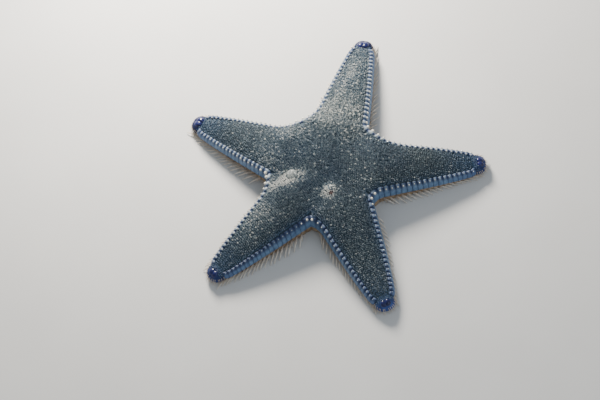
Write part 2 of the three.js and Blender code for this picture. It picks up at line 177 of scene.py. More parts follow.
def underPoint(arm, t, across, lift=0.0):
    place = rowPlace(arm, t, across)
    rim = np.where(t >= 0, rimRise(np.clip(t, 0, 1)), star["rimRootRise"])
    aside = place @ arm["across"] / star["furrowHalf"]
    furrow = np.clip(1 - aside ** 2, 0, 1) * star["furrowDepth"] * rim
    away = np.linalg.norm(place, axis=-1) / star["mouthRadius"]
    mouth = np.clip(1 - away ** 2, 0, 1) * star["mouthDepth"]
    return np.concatenate([place, (np.maximum(furrow, mouth) + lift)[..., None]], axis=-1)


# Slow variation of tone over the plan, and a little darker round the disc's middle. The other patches and
# the sheen streaks are painted light. The pale ones are painted sheen and highlights on slopes that face the
# light, on the far arm, on the cone, round the sieve plate, along the right arm's lower edge and at the near
# right tip.
# The dark ones are painted shade on the right arm and on the near left arm's shaded side. The tip blue is
# weaker on the far and left arms, where their paler tone is painted sheen.
marks = {"waves": rng.normal(0, 0.3, (7, 2)), "phases": rng.uniform(0, math.tau, 7), "slowShare": 0.07,
         "patches": [((-1.0, 2.0), 7.0, -0.06), ((1.1, -7.3), 1.9, 1.1), ((-9.8, -2.4), 1.8, 0.8),
                     ((5.0, 20.0), 11.0, 0.24), ((9.0, 38.0), 12.0, 0.27), ((26.0, 2.0), 15.0, -0.18),
                     ((39.0, 3.0), 7.0, 0.08), ((-18.5, -10.5), 6.0, 0.24), ((-24.0, -17.0), 5.0, 0.1),
                     ((-28.0, -26.0), 7.0, 0.1), ((-1.8, -11.2), 2.6, 0.18), ((10.0, -23.0), 9.0, 0.09),
                     ((-16.5, 4.0), 4.5, 0.26), ((-9.5, 11.5), 3.8, 0.28), ((3.4, 14.6), 6.5, 0.13),
                     ((11.3, -2.9), 5.0, 0.15), ((-10.7, -10.5), 3.6, -0.12),
                     ((14.8, -35.0), 8.0, 0.24)],
         "sheenStreaks": [((-13.6, -4.6), (-6.6, -1.4), 2.1, 0.5), ((1.8, 21.0), (7.0, 35.0), 0.8, 0.2),
                     ((12.0, -4.8), (33.0, -0.3), 1.6, 0.16)],
         "spotAt": (1.7, -7.7), "spotSize": 0.45, "tipBlue": (0.8, 0.25, 0.5, 0.75, 0.85)}


# Fades from 1 at a middle, which may differ for each place
def fading(place, middle, spread):
    return np.exp(-(np.linalg.norm(place - middle, axis=-1) / spread) ** 2)


# Tone of the back: a slow variation at random, plus the painted sheen and shade of the patches and streaks
def toneWithPaintedLight(place):
    slow = np.sin(place @ marks["waves"].T + marks["phases"]).sum(-1) / 3
    tone = marks["slowShare"] * slow
    for middle, spread, share in marks["patches"]:
        tone = tone + share * fading(place, np.array(middle), spread)
    for start, end, spread, share in marks["sheenStreaks"]:
        start, run = np.array(start), np.array(end) - np.array(start)
        along = np.clip((place - start) @ run / (run @ run), 0, 1)
        tone = tone + share * fading(place, start + along[..., None] * run, spread)
    return tone


def spotShare(place):
    return fading(place, np.array(marks["spotAt"]), marks["spotSize"])


def tipShare(share, start=0.62, power=1.4):
    return np.clip((share - start) / (1 - start), 0, 1) ** power


# Outward direction of the back
def backNormal(arm, t, across, step=0.01):
    ahead = backPoint(arm, np.minimum(t + step, 1), across)
    behind = backPoint(arm, np.maximum(t - step, -1), across)
    inside = np.clip(across, -1 + step, 1 - step)
    beside = backPoint(arm, t, inside + step) - backPoint(arm, t, inside - step)
    normal = unit(np.cross(ahead - behind, beside))
    return normal * np.sign(normal[..., 2:] + 1e-9)


# Where a place on the skin lies on its unwrap: a strip for each arm, the back below, the mouth side above
def unwrapped(arm, t, across, region, spread=0.46, margin=0.02):
    u = (arm["number"] + 0.5 + spread * across) / len(arms)
    v = margin + 0.5 * (region == "under") + spread * (t + 1) / 2
    return np.stack([u, v], axis=-1)


def templateOf(bm):
    bmesh.ops.recalc_face_normals(bm, faces=bm.faces[:])
    bm.verts.index_update()
    points = np.array([v.co[:] for v in bm.verts])
    faces = [[v.index for v in face.verts] for face in bm.faces]
    bm.free()
    return points, faces


def inScene(name, data):
    piece = bpy.data.objects.new(name, data)
    bpy.context.collection.objects.link(piece)
    return piece


def meshOf(bm, name, finish):
    mesh = bpy.data.meshes.new(name)
    bm.to_mesh(mesh)
    bm.free()
    mesh.materials.append(finish)
    return mesh


def onBody(piece):
    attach(piece, "root")
    return piece


def smoothPiece(bm, name, finish, scale=mm):
    for face in bm.faces:
        face.smooth = True
    bmesh.ops.scale(bm, verts=bm.verts[:], vec=(scale, scale, scale))
    bmesh.ops.recalc_face_normals(bm, faces=bm.faces[:])
    return onBody(inScene(name, meshOf(bm, name, finishes[finish])))


# Many moved copies of one template as one mesh. places is (copies, template points, 3), in millimetres, and
# each copy's patch of the unwrap lies round its root. A value is one number a copy, one a template point, or
# both as rows and columns.
def joinedCopies(name, template, places, roots, finish, values=None, patch=(0.003, 0.003)):
    points, faces = template
    places, roots, copies = np.array(places), np.array(roots), len(places)
    sizes = np.array([len(face) for face in faces])
    corners = np.concatenate([np.array(face) for face in faces])
    loops = (corners[None, :] + np.arange(copies)[:, None] * len(points)).ravel()
    mesh = bpy.data.meshes.new(name)
    mesh.vertices.add(copies * len(points))
    mesh.vertices.foreach_set("co", ((places + starMiddle) * mm).ravel())
    mesh.loops.add(len(loops))
    mesh.loops.foreach_set("vertex_index", loops)
    mesh.polygons.add(copies * len(faces))
    mesh.polygons.foreach_set("loop_start", np.concatenate([[0], np.cumsum(np.tile(sizes, copies))[:-1]]))
    mesh.polygons.foreach_set("use_smooth", np.ones(copies * len(faces), bool))
    mesh.update(calc_edges=True)
    spread = points[:, :2] / np.abs(points[:, :2]).max() * np.array(patch) / 2
    uv = roots[:, None, :] + spread[None, corners, :]
    mesh.uv_layers.new(name="OFBake").uv.foreach_set("vector", uv.ravel())
    for key, value in (values or {}).items():
        value = np.array(value)
        if value.ndim == 1:
            value = np.broadcast_to(value[:, None] if len(value) == copies else value, (copies, len(points)))
        mesh.attributes.new(key, "FLOAT", "POINT").data.foreach_set("value", value.ravel())
    mesh.materials.append(finishes[finish])
    mesh.validate()
    return onBody(inScene(name, mesh))


# Template points laid on frames: origins and three axes, each (copies, 3), with a size along each axis
def laid(points, origins, xAxis, yAxis, zAxis, sizes):
    local = points[None] * sizes[:, None, :]
    axes = (xAxis, yAxis, zAxis)
    return origins[:, None] + sum(local[..., k:k + 1] * axis[:, None] for k, axis in enumerate(axes))


# Points turned to a forward and an upward axis, with a size along each of the three
def turned(points, sizes, forward, up):
    return points * np.array(sizes) @ np.stack([forward, np.cross(up, forward), up])


# Two axes square to each normal, turned about it by an angle
def framesOn(normals, angles, aslant=(0.13, 0.97, 0.21)):
    side = unit(np.cross(normals, aslant))
    other = np.cross(normals, side)
    cos, sin = np.cos(angles)[:, None], np.sin(angles)[:, None]
    return side * cos + other * sin, other * cos - side * sin


def ballTemplate(around, up):
    bm = bmesh.new()
    bmesh.ops.create_uvsphere(bm, u_segments=around, v_segments=up, radius=1)
    return templateOf(bm)


# A cube from -1 to 1 with its faces divided, and its edges drawn in where it is a pebble
def blockTemplate(cuts, roundness=0.0):
    bm = bmesh.new()
    bmesh.ops.create_cube(bm, size=2)
    bmesh.ops.subdivide_edges(bm, edges=bm.edges[:], cuts=cuts, use_grid_fill=True)
    pebbleRadius = 1.15
    for vertex in bm.verts:
        vertex.co = vertex.co.lerp(vertex.co.normalized() * pebbleRadius, roundness)
    return templateOf(bm)


# A tapered spine along +X, from 0 to 1, with a slight waist above its root
def spineTemplate(rings=7, sides=8, tip=0.14, power=1.4):
    bm = bmesh.new()
    turn = Matrix.Rotation(math.pi / 2, 4, "Y")
    bmesh.ops.create_cone(bm, cap_ends=True, segments=sides, radius1=1, radius2=1, depth=1, matrix=turn)
    bmesh.ops.translate(bm, verts=bm.verts[:], vec=(0.5, 0, 0))
    lengthwise = [e for e in bm.edges if abs(e.verts[0].co.x - e.verts[1].co.x) > 0.5]
    bmesh.ops.subdivide_edges(bm, edges=lengthwise, cuts=rings - 1)
    waist, waistRun = 0.14, 2.2
    for vertex in bm.verts:
        x = limited(vertex.co.x)
        size = (1 - (1 - tip) * x ** power) * (1 - waist + waist * math.sin(math.pi * min(x * waistRun, 1)))
        vertex.co.y *= size
        vertex.co.z *= size
    return templateOf(bm)


# Spines from root to tip as template copies, humped in the middle by a share of their length
def spineCopies(template, roots, tips, wide, thick, hump):
    roots, tips = np.array(roots), np.array(tips)
    wide, thick, hump = (np.broadcast_to(np.asarray(v, float), len(roots)) for v in (wide, thick, hump))
    x, y, z = template[0].T
    span = tips - roots
    length = np.linalg.norm(span, axis=1)
    along = unit(span)
    flat = unit(np.cross(along, np.array([0.02, 0.01, 1.0])))
    up = np.cross(flat, along)
    bend = (4 * x * (1 - x))[None, :, None] * (hump * length)[:, None, None] * up[:, None]
    return (roots[:, None] + x[None, :, None] * span[:, None] + bend
            + y[None, :, None] * flat[:, None] * (wide / 2)[:, None, None]
            + z[None, :, None] * up[:, None] * (thick / 2)[:, None, None])


# Spines of one piece, from rows that start with a root, a tip and a place on the unwrap
def joinedSpines(name, template, rows, finish, wide, thick, hump, values=None):
    roots, tips, uv = ([row[k] for row in rows] for k in range(3))
    joinedCopies(name, template, spineCopies(template, roots, tips, wide, thick, hump), uv, finish, values)


# Little spines, a little darker at the root
def joinedSmallSpines(name, template, rows, wide, thick, hump):
    shades = {"outward": 0.5 + 0.5 * np.clip(template[0][:, 0], 0, 1)}
    joinedSpines(name, template, rows, "spines", wide, thick, hump, shades)


def nodeGroup(name, inputs, outputs):
    group = bpy.data.node_groups.new(name, "ShaderNodeTree")
    for label, kind, value in inputs:
        socket = group.interface.new_socket(label, in_out="INPUT", socket_type=kind)
        socket.default_value = value
    for label, kind in outputs:
        group.interface.new_socket(label, in_out="OUTPUT", socket_type=kind)
    return group, group.nodes.new("NodeGroupInput"), group.nodes.new("NodeGroupOutput")


# Sets a socket to a plain value, or links it where the value is another node's socket
def linked(tree, value, socket):
    if isinstance(value, bpy.types.NodeSocket):
        tree.links.new(value, socket)
    else:
        socket.default_value = value


def newNode(tree, kind, inputs, **settings):
    node = tree.nodes.new(kind)
    for key, value in settings.items():
        setattr(node, key, value)
    for key, value in inputs.items():
        linked(tree, value, node.inputs[key])
    return node


# Two colours in soft blotches. Balance moves them from the dark one at 0 to the pale one at 1.
def makeMottleGroup():
    group, given, out = nodeGroup(
        "mottle", [("Scale", "NodeSocketFloat", 900.0), ("Dark", "NodeSocketColor", (0, 0, 0, 1)),
                   ("Pale", "NodeSocketColor", (1, 1, 1, 1)), ("Balance", "NodeSocketFloat", 0.5)],
        [("Color", "NodeSocketColor")])
    where = newNode(group, "ShaderNodeTexCoord", {})
    noise = newNode(group, "ShaderNodeTexNoise", {"Vector": where.outputs["Object"],
                                                  "Scale": given.outputs["Scale"], "Detail": 5})
    spread = newNode(group, "ShaderNodeMapRange", {"Value": noise.outputs["Fac"], "From Min": 0.3,
                                                   "From Max": 0.7})
    shift = newNode(group, "ShaderNodeMath", {0: given.outputs["Balance"], 1: 0.5}, operation="SUBTRACT")
    push = newNode(group, "ShaderNodeMath", {0: spread.outputs["Result"], 1: shift.outputs["Value"]},
                   operation="ADD", use_clamp=True)
    linked(group, blended(group, push.outputs["Value"], given.outputs["Dark"], given.outputs["Pale"]),
           out.inputs["Color"])
    return group


# Fine rounded grains as a bump
def makeGrainGroup():
    group, given, out = nodeGroup(
        "grain", [("Scale", "NodeSocketFloat", 3000.0), ("Depth", "NodeSocketFloat", 0.00006),
                  ("Strength", "NodeSocketFloat", 0.5)], [("Normal", "NodeSocketVector")])
    where = newNode(group, "ShaderNodeTexCoord", {})
    cells = newNode(group, "ShaderNodeTexVoronoi", {"Vector": where.outputs["Object"],
                                                    "Scale": given.outputs["Scale"]}, feature="SMOOTH_F1")
    turn = newNode(group, "ShaderNodeMath", {0: 1.0, 1: cells.outputs["Distance"]}, operation="SUBTRACT")
    bump = newNode(group, "ShaderNodeBump", {"Height": turn.outputs["Value"],
                                             "Strength": given.outputs["Strength"],
                                             "Distance": given.outputs["Depth"]})
    linked(group, bump.outputs["Normal"], out.inputs["Normal"])
    return group


def blended(tree, share, first, second):
    return newNode(tree, "ShaderNodeMix", {0: share, 6: first, 7: second}, data_type="RGBA").outputs[2]


def srgb(*colour):
    return tuple(((c / 255 + 0.055) / 1.055) ** 2.4 if c > 10 else c / 255 / 12.92 for c in colour) + (1,)


# Soft blotches of a dark and a pale colour
def soft(dark, pale, scale):
    return srgb(*dark), srgb(*pale), scale


mottleGroup = makeMottleGroup()
grainGroup = makeGrainGroup()


def mottled(tree, dark, pale, scale, balance=0.5):
    given = {"Scale": scale, "Dark": dark, "Pale": pale, "Balance": balance}
    return newNode(tree, "ShaderNodeGroup", given, node_tree=mottleGroup).outputs["Color"]


def attributeOf(tree, name):
    return newNode(tree, "ShaderNodeAttribute", {}, attribute_name=name).outputs["Fac"]


def toned(tree, stops):
    node = newNode(tree, "ShaderNodeValToRGB", {"Fac": attributeOf(tree, "tone")})
    ramp = node.color_ramp
    while len(ramp.elements) < len(stops):
        ramp.elements.new(0.5)
    for element, (position, colour) in zip(ramp.elements, stops):
        element.position = position
        element.color = srgb(*colour)
    return node.outputs["Color"]


# The slow drift of hue that the skin and everything on it share
def drifted(tree, colour, share=0.24):
    return blended(tree, share, colour, mottled(tree, *soft((30, 70, 102), (90, 102, 102), 75), balance=0.4))


def skinBack(tree):
    tones = toned(tree, [(0.0, (18, 26, 34)), (0.5, (38, 50, 60)), (1.0, (72, 84, 90))])
    blotches = mottled(tree, *soft((20, 30, 40), (74, 84, 86), 1500))
    return drifted(tree, blended(tree, 0.3, tones, blotches))


# The palest stops are reached mostly where the painted sheen patches raise the tone
def crownTop(tree):
    tones = toned(tree, [(0.0, (22, 34, 48)), (0.38, (56, 76, 92)), (0.66, (108, 125, 132)),
                         (1.0, (250, 248, 238))])
    blotches = mottled(tree, *soft((28, 42, 56), (150, 154, 146), 2600))
    return drifted(tree, blended(tree, 0.15, tones, blotches))


# A material from its lowest colour up. Each further one, plain or soft, is laid on where the attribute of
# that name says so. The grain is how fine, how deep and how strong.
def newFinish(name, lowest, layers=(), grain=(5000, 0.00003, 0.35), roughness=0.4, coat=0.0,
              coatRoughness=0.1, specular=0.5):
    finish = bpy.data.materials.new(name)
    finish.use_nodes = True
    tree, shader = finish.node_tree, finish.node_tree.nodes["Principled BSDF"]
    colour = lowest(tree) if callable(lowest) else mottled(tree, *lowest)
    for attribute, upper in layers:
        upper = mottled(tree, *upper) if len(upper) == 3 else upper
        colour = blended(tree, attributeOf(tree, attribute), colour, upper)
    given = dict(zip(("Scale", "Depth", "Strength"), grain))
    bump = newNode(tree, "ShaderNodeGroup", given, node_tree=grainGroup)
    values = {"Base Color": colour, "Normal": bump.outputs["Normal"], "Roughness": roughness,
              "Coat Weight": coat, "Coat Roughness": coatRoughness, "Specular IOR Level": specular}
    for key, value in values.items():
        linked(tree, value, shader.inputs[key])
    return finish


finishes = {
    "skin": newFinish("skin", skinBack, [("flank", soft((50, 60, 74), (86, 98, 110), 700)),
                                         ("under", soft((150, 126, 96), (200, 180, 146), 600)),
                                         ("spot", srgb(92, 40, 30))],
                      grain=(2600, 0.00008, 0.6), roughness=0.75, specular=0.25),
    # Crowns: their tone, then the blue toward the tips together with painted shade along the shaded rims,
    # then the cone's spot
    "crowns": newFinish("crowns", crownTop, [("tipward", srgb(48, 80, 116)), ("spot", srgb(104, 46, 36))],
                        grain=(7000, 0.00003, 0.4), roughness=0.42, coat=0.22, coatRoughness=0.24),
    # Rim plates: blue-grey bands; the ridge layer is a painted highlight on lit crests, then tip blue, then
    # dark seams with painted shade
    "plates": newFinish("rim plates", soft((72, 98, 131), (104, 132, 162), 900),
                        [("ridge", soft((112, 126, 136), (168, 174, 172), 1700)),
                         ("tipward", srgb(56, 76, 120)), ("seamsAndShade", srgb(30, 44, 78))],
                        grain=(4600, 0.00012, 0.6), roughness=0.6, coat=0.05, coatRoughness=0.35,
                        specular=0.4),
    # Beads: the pale layer is partly painted light, paler on the sides that face the light
    "beads": newFinish("beads", soft((96, 108, 122), (142, 150, 154), 1500),
                       [("pale", soft((206, 198, 178), (240, 234, 220), 1500))],
                       grain=(7000, 0.00006, 0.4), roughness=0.26, coat=0.7, coatRoughness=0.08),
    "spines": newFinish("spines", soft((108, 78, 56), (146, 112, 84), 800),
                        [("outward", soft((188, 176, 160), (224, 214, 198), 800))],
                        roughness=0.38, coat=0.35),
    # End plates: the deep layer of dark navy is weaker on the right and near arms, most on the near right
    # arm, whose paler blue is painted sheen
    "caps": newFinish("end plate", soft((36, 52, 80), (60, 78, 104), 900),
                      [("outward", soft((36, 53, 106), (68, 90, 147), 900)),
                       ("deep", soft((5, 9, 42), (14, 22, 68), 900)),
                       ("under", soft((120, 100, 82), (166, 146, 120), 800))],
                      grain=(4600, 0.00014, 0.7), roughness=0.55, coat=0.05, coatRoughness=0.25,
                      specular=0.2),
    "lower": newFinish("lower plates", soft((112, 84, 58), (160, 138, 108), 800),
                       grain=(4200, 0.00005, 0.55), roughness=0.45, coat=0.25),
    "oral": newFinish("mouth side plates", soft((168, 148, 118), (212, 198, 170), 700),
                      grain=(4200, 0.00005, 0.5), roughness=0.45, coat=0.25),
    "feet": newFinish("tube feet", soft((200, 168, 116), (230, 210, 170), 900), roughness=0.3, coat=0.5),
    "lobes": newFinish("end lobes", soft((6, 10, 44), (20, 30, 92), 1100), grain=(4200, 0.00006, 0.2),
                       roughness=0.4, coat=0.5, coatRoughness=0.06, specular=0.2),
    "sieve": newFinish("sieve plate", soft((84, 94, 98), (158, 162, 156), 2400),
                       grain=(5200, 0.00012, 0.6), roughness=0.42, coat=0.3),
}
print("finishes made")

# The skin is one closed surface under the coat of plates and spines
skin = {"backCoat": 0.42, "underCoat": 0.4, "wallBulge": 0.28, "discRows": 26, "armRows": 80,
        "acrossCells": 44, "wallCells": 12, "mergeDistance": 2e-6}


def makeSkin():
    bm = bmesh.new()
    uvLayer = bm.loops.layers.uv.new("OFBake")
    layers = {key: bm.verts.layers.float.new(key) for key in ("tone", "spot", "flank", "under")}
    discT = np.linspace(-1, 0, skin["discRows"] + 1)
    armT = np.linspace(0, 1, skin["armRows"] + 1)
    allT = np.concatenate([discT, armT[1:]])

    # One sheet of the skin, laid by a function of arm, t and across, and the attribute that marks it
    def sheet(arm, rowsT, cells, place, region, marked=None):
        made = bmesh.ops.create_grid(bm, x_segments=cells, y_segments=len(rowsT) - 1, size=1)["verts"]
        flat = np.array([v.co[:2] for v in made])
        t = rowsT[np.rint((flat[:, 1] + 1) / 2 * (len(rowsT) - 1)).astype(int)]
        spots = place(arm, t, flat[:, 0])
        strip = dict(zip(made, unwrapped(arm, t, flat[:, 0], region)))
        values = {"tone": 0.5 + toneWithPaintedLight(spots[:, :2]), "spot": spotShare(spots[:, :2])}
        for number, (vertex, spot) in enumerate(zip(made, spots)):
            vertex.co = Vector((spot + starMiddle) * mm)
            for key, value in values.items():
                vertex[layers[key]] = value[number]
            if marked:
                vertex[layers[marked]] = 1.0
        for face in {f for v in made for f in v.link_faces}:
            for loop in face.loops:
                loop[uvLayer].uv = strip[loop.vert]

    def wallOf(side):
        def place(arm, t, x):
            drop = (1 - x) / 2
            point, out = rimAt(arm, side, t)
            top = backPoint(arm, t, np.full_like(t, side), -skin["backCoat"])[:, 2]
            bulge = skin["wallBulge"] * np.sin(np.pi * drop)
            rise = mix(top, skin["underCoat"], drop)
            return np.concatenate([point + out * bulge[:, None], rise[:, None]], axis=1)
        return place

    for arm in arms:
        cells = skin["acrossCells"]
        sheet(arm, allT, cells, lambda *at: backPoint(*at, -skin["backCoat"]), "back")
        sheet(arm, allT, cells, lambda *at: underPoint(*at, skin["underCoat"]), "under", "under")
        for side in (1, -1):
            sheet(arm, armT, skin["wallCells"], wallOf(side), "under", "flank")
    bmesh.ops.remove_doubles(bm, verts=bm.verts[:], dist=skin["mergeDistance"])
    bmesh.ops.holes_fill(bm, edges=[edge for edge in bm.edges if edge.is_boundary], sides=0)
    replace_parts(smoothPiece(bm, "skin", "skin", 1), "disc", *[f"arm_{arm['name']}" for arm in arms])


makeSkin()
print("skin made")

# Upright rim plates, each a rung on top and a smooth band below, with their beads. Sunlit is how much the
# right and the left side of each arm face the light, and so how strongly the rungs and beads stand out
# there. It also
# sets painted light: paler crests and beads, with painted shade in the gaps, on the lit sides, and painted
# shade over the tops on the shaded sides. A section runs from the inner edge over the top and down: out,
# share of the inset, share of the rise, lift, share of proud.
rim = {"perSide": 20, "spread": 0.88, "gap": 0.06, "inset": 0.95, "leastInset": 0.55, "proud": 0.42,
       "proudBy": (0.3, 0.9), "sunk": 0.75, "topFrom": 0.1, "topFade": 0.5,
       "section": [(0, 1, 1, -0.12, 0), (0, 0.5, 1, 0, 1.1), (0.3, 0, 1, 0, 0.75), (0.75, 0, 0.86, 0, 0),
                   (1.02, 0, 0.66, 0, 0), (0.98, 0, 0.47, 0, 0), (0.6, 0, 0.38, 0, 0)],
       "rungDrop": 0.34, "rungPower": 1.8, "quietRung": 0.12, "bandDrop": 0.05, "bandPower": 7.0,
       "endDrop": 0.2, "endPower": 8, "endFrom": 0.93, "endNarrow": 0.5,
       "beadShares": (0.13, 0.25, 0.34), "innerBead": 0.2, "outerBead": 0.27, "quietOuter": 0.5,
       "notchBead": 0.24, "notchReach": 0.14, "rootBead": 1.1, "tipBead": 0.75, "beadVary": 0.12,
       "beadRaise": 0.3, "leastBead": 0.08, "beadFlat": 0.9, "paleWhereLit": (-0.15, 0.8),
       "paleAlong": (0.2, -0.2), "paleNotch": 0.9, "paleVary": 0.12,
       "tipBlue": 0.6, "gapFrom": 0.35, "gapShade": 0.9, "sunlitFull": 1.4, "seamDark": 0.3, "seamPower": 12,
       "sunlit": {"right": (0.45, 0.95), "far": (0.8, 0.9), "left": (1.0, 0.6), "near_left": (0.95, 0.15),
                "near_right": (0.3, 0.35)}}

# The back's coat of little stalked crowns, their stalks given by two radii and a height
crowns = {"stalk": (0.5, 0.86, 0.66), "granules": 6, "granule": (0.33, 0.33, 0.36), "granulesOut": 0.66,
          "granulesUp": 0.68, "middleUp": 0.1, "granulePoints": 6, "spacing": 0.5, "stagger": 0.25,
          "leastRow": 0.2, "radius": 0.272, "height": 0.46, "sink": 0.06, "vary": 0.16, "stray": 0.15,
          "tilt": 0.13, "rimMargin": 0.62, "sunlitMargin": 0.95, "sunlitPower": 4, "rimMarginEase": 8.0,
          "tipMargin": 0.6, "tipSize": 0.82, "sieveClear": 1.45,
          "tone": 0.47, "toneVary": 0.09, "paleShare": 0.035, "paleBy": 0.38, "darkShare": 0.12,
          "darkBy": 0.16, "granuleVary": 0.14, "stalkTone": -0.25, "blueReach": 1.3, "blueFade": 4}
sieve = {"at": (-9.0, -1.5), "radius": 1.45, "rise": 0.5, "drop": 0.16, "furrows": 19, "wander": 2.4,
         "furrowDepth": 0.22, "swirl": (5, 3), "smoothMiddle": 3}


def crownTemplate():
    bm = bmesh.new()
    low, high, depth = crowns["stalk"]
    bmesh.ops.create_cone(bm, cap_ends=True, segments=8, radius1=low, radius2=high, depth=depth,
                          matrix=Matrix.Translation((0, 0, depth / 2)))
    for i in range(crowns["granules"] + 1):
        angle, middle = i * math.tau / crowns["granules"], i == crowns["granules"]
        out, up = crowns["granulesOut"] * (not middle), crowns["granulesUp"] + crowns["middleUp"] * middle
        spot = Matrix.Translation((math.cos(angle) * out, math.sin(angle) * out, up))
        bmesh.ops.create_uvsphere(bm, u_segments=4, v_segments=2, radius=1,
                                  matrix=spot @ Matrix.Diagonal((*crowns["granule"], 1)))
    return templateOf(bm)


# Painted shade: the back turns blue along the rim on the sides that face away from the light
def shadedRimBlue(arm, t, across):
    quiet = 1 - np.array(rim["sunlit"][arm["name"]])[(across > 0).astype(int)]
    fromRim = (1 - np.abs(across)) * rimHalf(np.clip(t, 0, 1)) / crowns["blueReach"]
    return quiet * np.exp(-fromRim ** 2) * np.clip(1 + t * crowns["blueFade"], 0, 1)


# Which part of a crown each template point belongs to: 0 is its stalk, then one number for each granule
def crownParts(template):
    stalk = len(template[0]) - crowns["granulePoints"] * (crowns["granules"] + 1)
    return np.maximum(0, (np.arange(len(template[0])) - stalk) // crowns["granulePoints"] + 1)


def granuleTones(tone, parts):
    shifts = rng.normal(0, crowns["granuleVary"], (len(tone), parts.max() + 1))
    shifts[:, 0] = crowns["stalkTone"]
    return np.clip(tone[:, None] + shifts[:, parts], 0, 1)


# Places in rows across an arm and its share of the disc, a given distance apart
def rowPlaces(arm, spacing, marginOf, lastRow=0.995):
    middle = rowPlace(arm, np.array([0.0]), np.array([0.0]))[0] @ arm["axis"]
    discRows = int(middle / spacing)
    armRows = int((arm["rimEnd"] - middle) / spacing)
    rows = np.concatenate([(np.arange(discRows) + 0.5) / discRows - 1, (np.arange(armRows) + 0.5) / armRows])
    t, across = [], []
    for number, row in enumerate(rows):
        for side in (1, -1):
            ends = rowPlace(arm, np.array([row, row]), np.array([0.0, float(side)]))
            half = np.linalg.norm(ends[1] - ends[0])
            usable = max(half - marginOf(row, side), crowns["leastRow"])
            count = max(1, round(usable / spacing))
            steps = (np.arange(count) + 0.5 - crowns["stagger"] * (number % 2)) / count
            across.append(side * steps * usable / half)
            t.append(np.full(count, row))
    t, across = np.concatenate(t), np.concatenate(across)
    half = np.linalg.norm(rowPlace(arm, t, np.ones_like(t)) - rowPlace(arm, t, np.zeros_like(t)), axis=1)
    across = np.clip(across + rng.normal(0, crowns["stray"], len(t)) * spacing / half, -1, 1)
    stray = rng.normal(0, crowns["stray"], len(t)) * spacing / (arm["rimEnd"] - middle)
    return np.clip(t + stray, -lastRow, lastRow), across


def vary(count, share=1.0):
    return 1 + share * rng.uniform(-1, 1, count)


def makeCrowns(template):
    parts = crownParts(template)
    for arm in arms:
        def marginOf(row, side):
            sunlit = bySide(rim["sunlit"], arm, side) ** crowns["sunlitPower"]
            return (mix(crowns["rimMargin"], crowns["sunlitMargin"], sunlit)
                    * limited(1 + row * crowns["rimMarginEase"]) * mix(1, crowns["tipMargin"], max(row, 0)))

        t, across = rowPlaces(arm, crowns["spacing"], marginOf)
        fromSieve = np.linalg.norm(rowPlace(arm, t, across) - np.array(sieve["at"]), axis=1)
        t, across = t[fromSieve > crowns["sieveClear"]], across[fromSieve > crowns["sieveClear"]]
        count, place = len(t), rowPlace(arm, t, across)
        normals = unit(backNormal(arm, t, across) + rng.normal(0, crowns["tilt"], (count, 3)))
        origins = backPoint(arm, t, across, -skin["backCoat"] - crowns["sink"])
        shrink = mix(1, crowns["tipSize"], np.clip(t, 0, 1))
        size = crowns["radius"] * vary(count, crowns["vary"]) * shrink
        height = crowns["height"] * vary(count, crowns["vary"]) * shrink
        xAxis, yAxis = framesOn(normals, rng.uniform(0, math.tau, count))
        places = laid(template[0], origins, xAxis, yAxis, normals, np.stack([size, size, height], axis=1))
        chance = rng.uniform(0, 1, count)
        tone = (crowns["tone"] + toneWithPaintedLight(place) + rng.normal(0, crowns["toneVary"], count)
                + crowns["paleBy"] * (chance < crowns["paleShare"])
                - crowns["darkBy"] * (chance > 1 - crowns["darkShare"]))
        # Blue toward the tips, and painted shade as blue along the rims of the sides that face away from the
        # light
        tipward = np.maximum(marks["tipBlue"][arm["number"]] * tipShare(t), shadedRimBlue(arm, t, across))
        values = {"tone": granuleTones(tone, parts), "spot": spotShare(place), "tipward": tipward}
        piece = joinedCopies(f"crowns_{arm['name']}", template, places, unwrapped(arm, t, across, "back"),
                             "crowns", values)
        print(piece.name, count, "crowns")


makeCrowns(crownTemplate())


def makeSievePlate():
    bm = bmesh.new()
    bmesh.ops.create_uvsphere(bm, u_segments=96, v_segments=40, radius=1)
    for vertex in bm.verts:
        x, y, z = vertex.co
        away, angle = math.hypot(x, y), math.atan2(y, x)
        swirl = math.sin(away * sieve["swirl"][0] + angle * sieve["swirl"][1])
        worm = abs(math.sin(angle * sieve["furrows"] / 2 + sieve["wander"] * swirl))
        dip = sieve["furrowDepth"] * (1 - worm) ** 2 * min(1, away * sieve["smoothMiddle"]) * (z > 0)
        vertex.co = Vector((x * sieve["radius"], y * sieve["radius"], z * sieve["rise"] - dip))
    low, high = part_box("sieve_plate")
    top = high.z / mm - sieve["rise"] - sieve["drop"]
    place = Vector(((low.x + high.x) / 2 / mm, (low.y + high.y) / 2 / mm, top))
    bmesh.ops.translate(bm, verts=bm.verts[:], vec=place)
    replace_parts(smoothPiece(bm, "sieve_detail", "sieve"), "sieve_plate")


makeSievePlate()
print("sieve plate made")


# A smooth section from a few points [out, rise], cut at the corners three times: points and outward normals
def smoothSection(points, shares):
    points = np.array(points, float)
    for _ in range(3):
        cut = np.stack([mix(points[:-1], points[1:], 0.25), mix(points[:-1], points[1:], 0.75)], axis=1)
        points = np.concatenate([points[:1], cut.reshape(-1, 2), points[-1:]])
    run = np.concatenate([[0], np.cumsum(np.linalg.norm(np.diff(points, axis=0), axis=1))])
    steps = np.gradient(points, run, axis=0)
    normals = unit(np.stack([-steps[:, 1], steps[:, 0]], axis=1))
    at = np.clip(shares, 0, 1) * run[-1]

    def pick(values):
        return np.stack([np.interp(at, run, values[:, k]) for k in (0, 1)], axis=1)
    return pick(points), unit(pick(normals))


def plateSection(share, sunlit):
    rise, vault = rimRise(share), vaultOf(share) / star["vaultRise"]
    inset, proud = rim["inset"] * mix(rim["leastInset"], 1, vault), rim["proud"] * mix(*rim["proudBy"], sunlit)
    return [(out - inset * inward, rise * part + lift + proud * stand)
            for out, inward, part, lift, stand in rim["section"]]


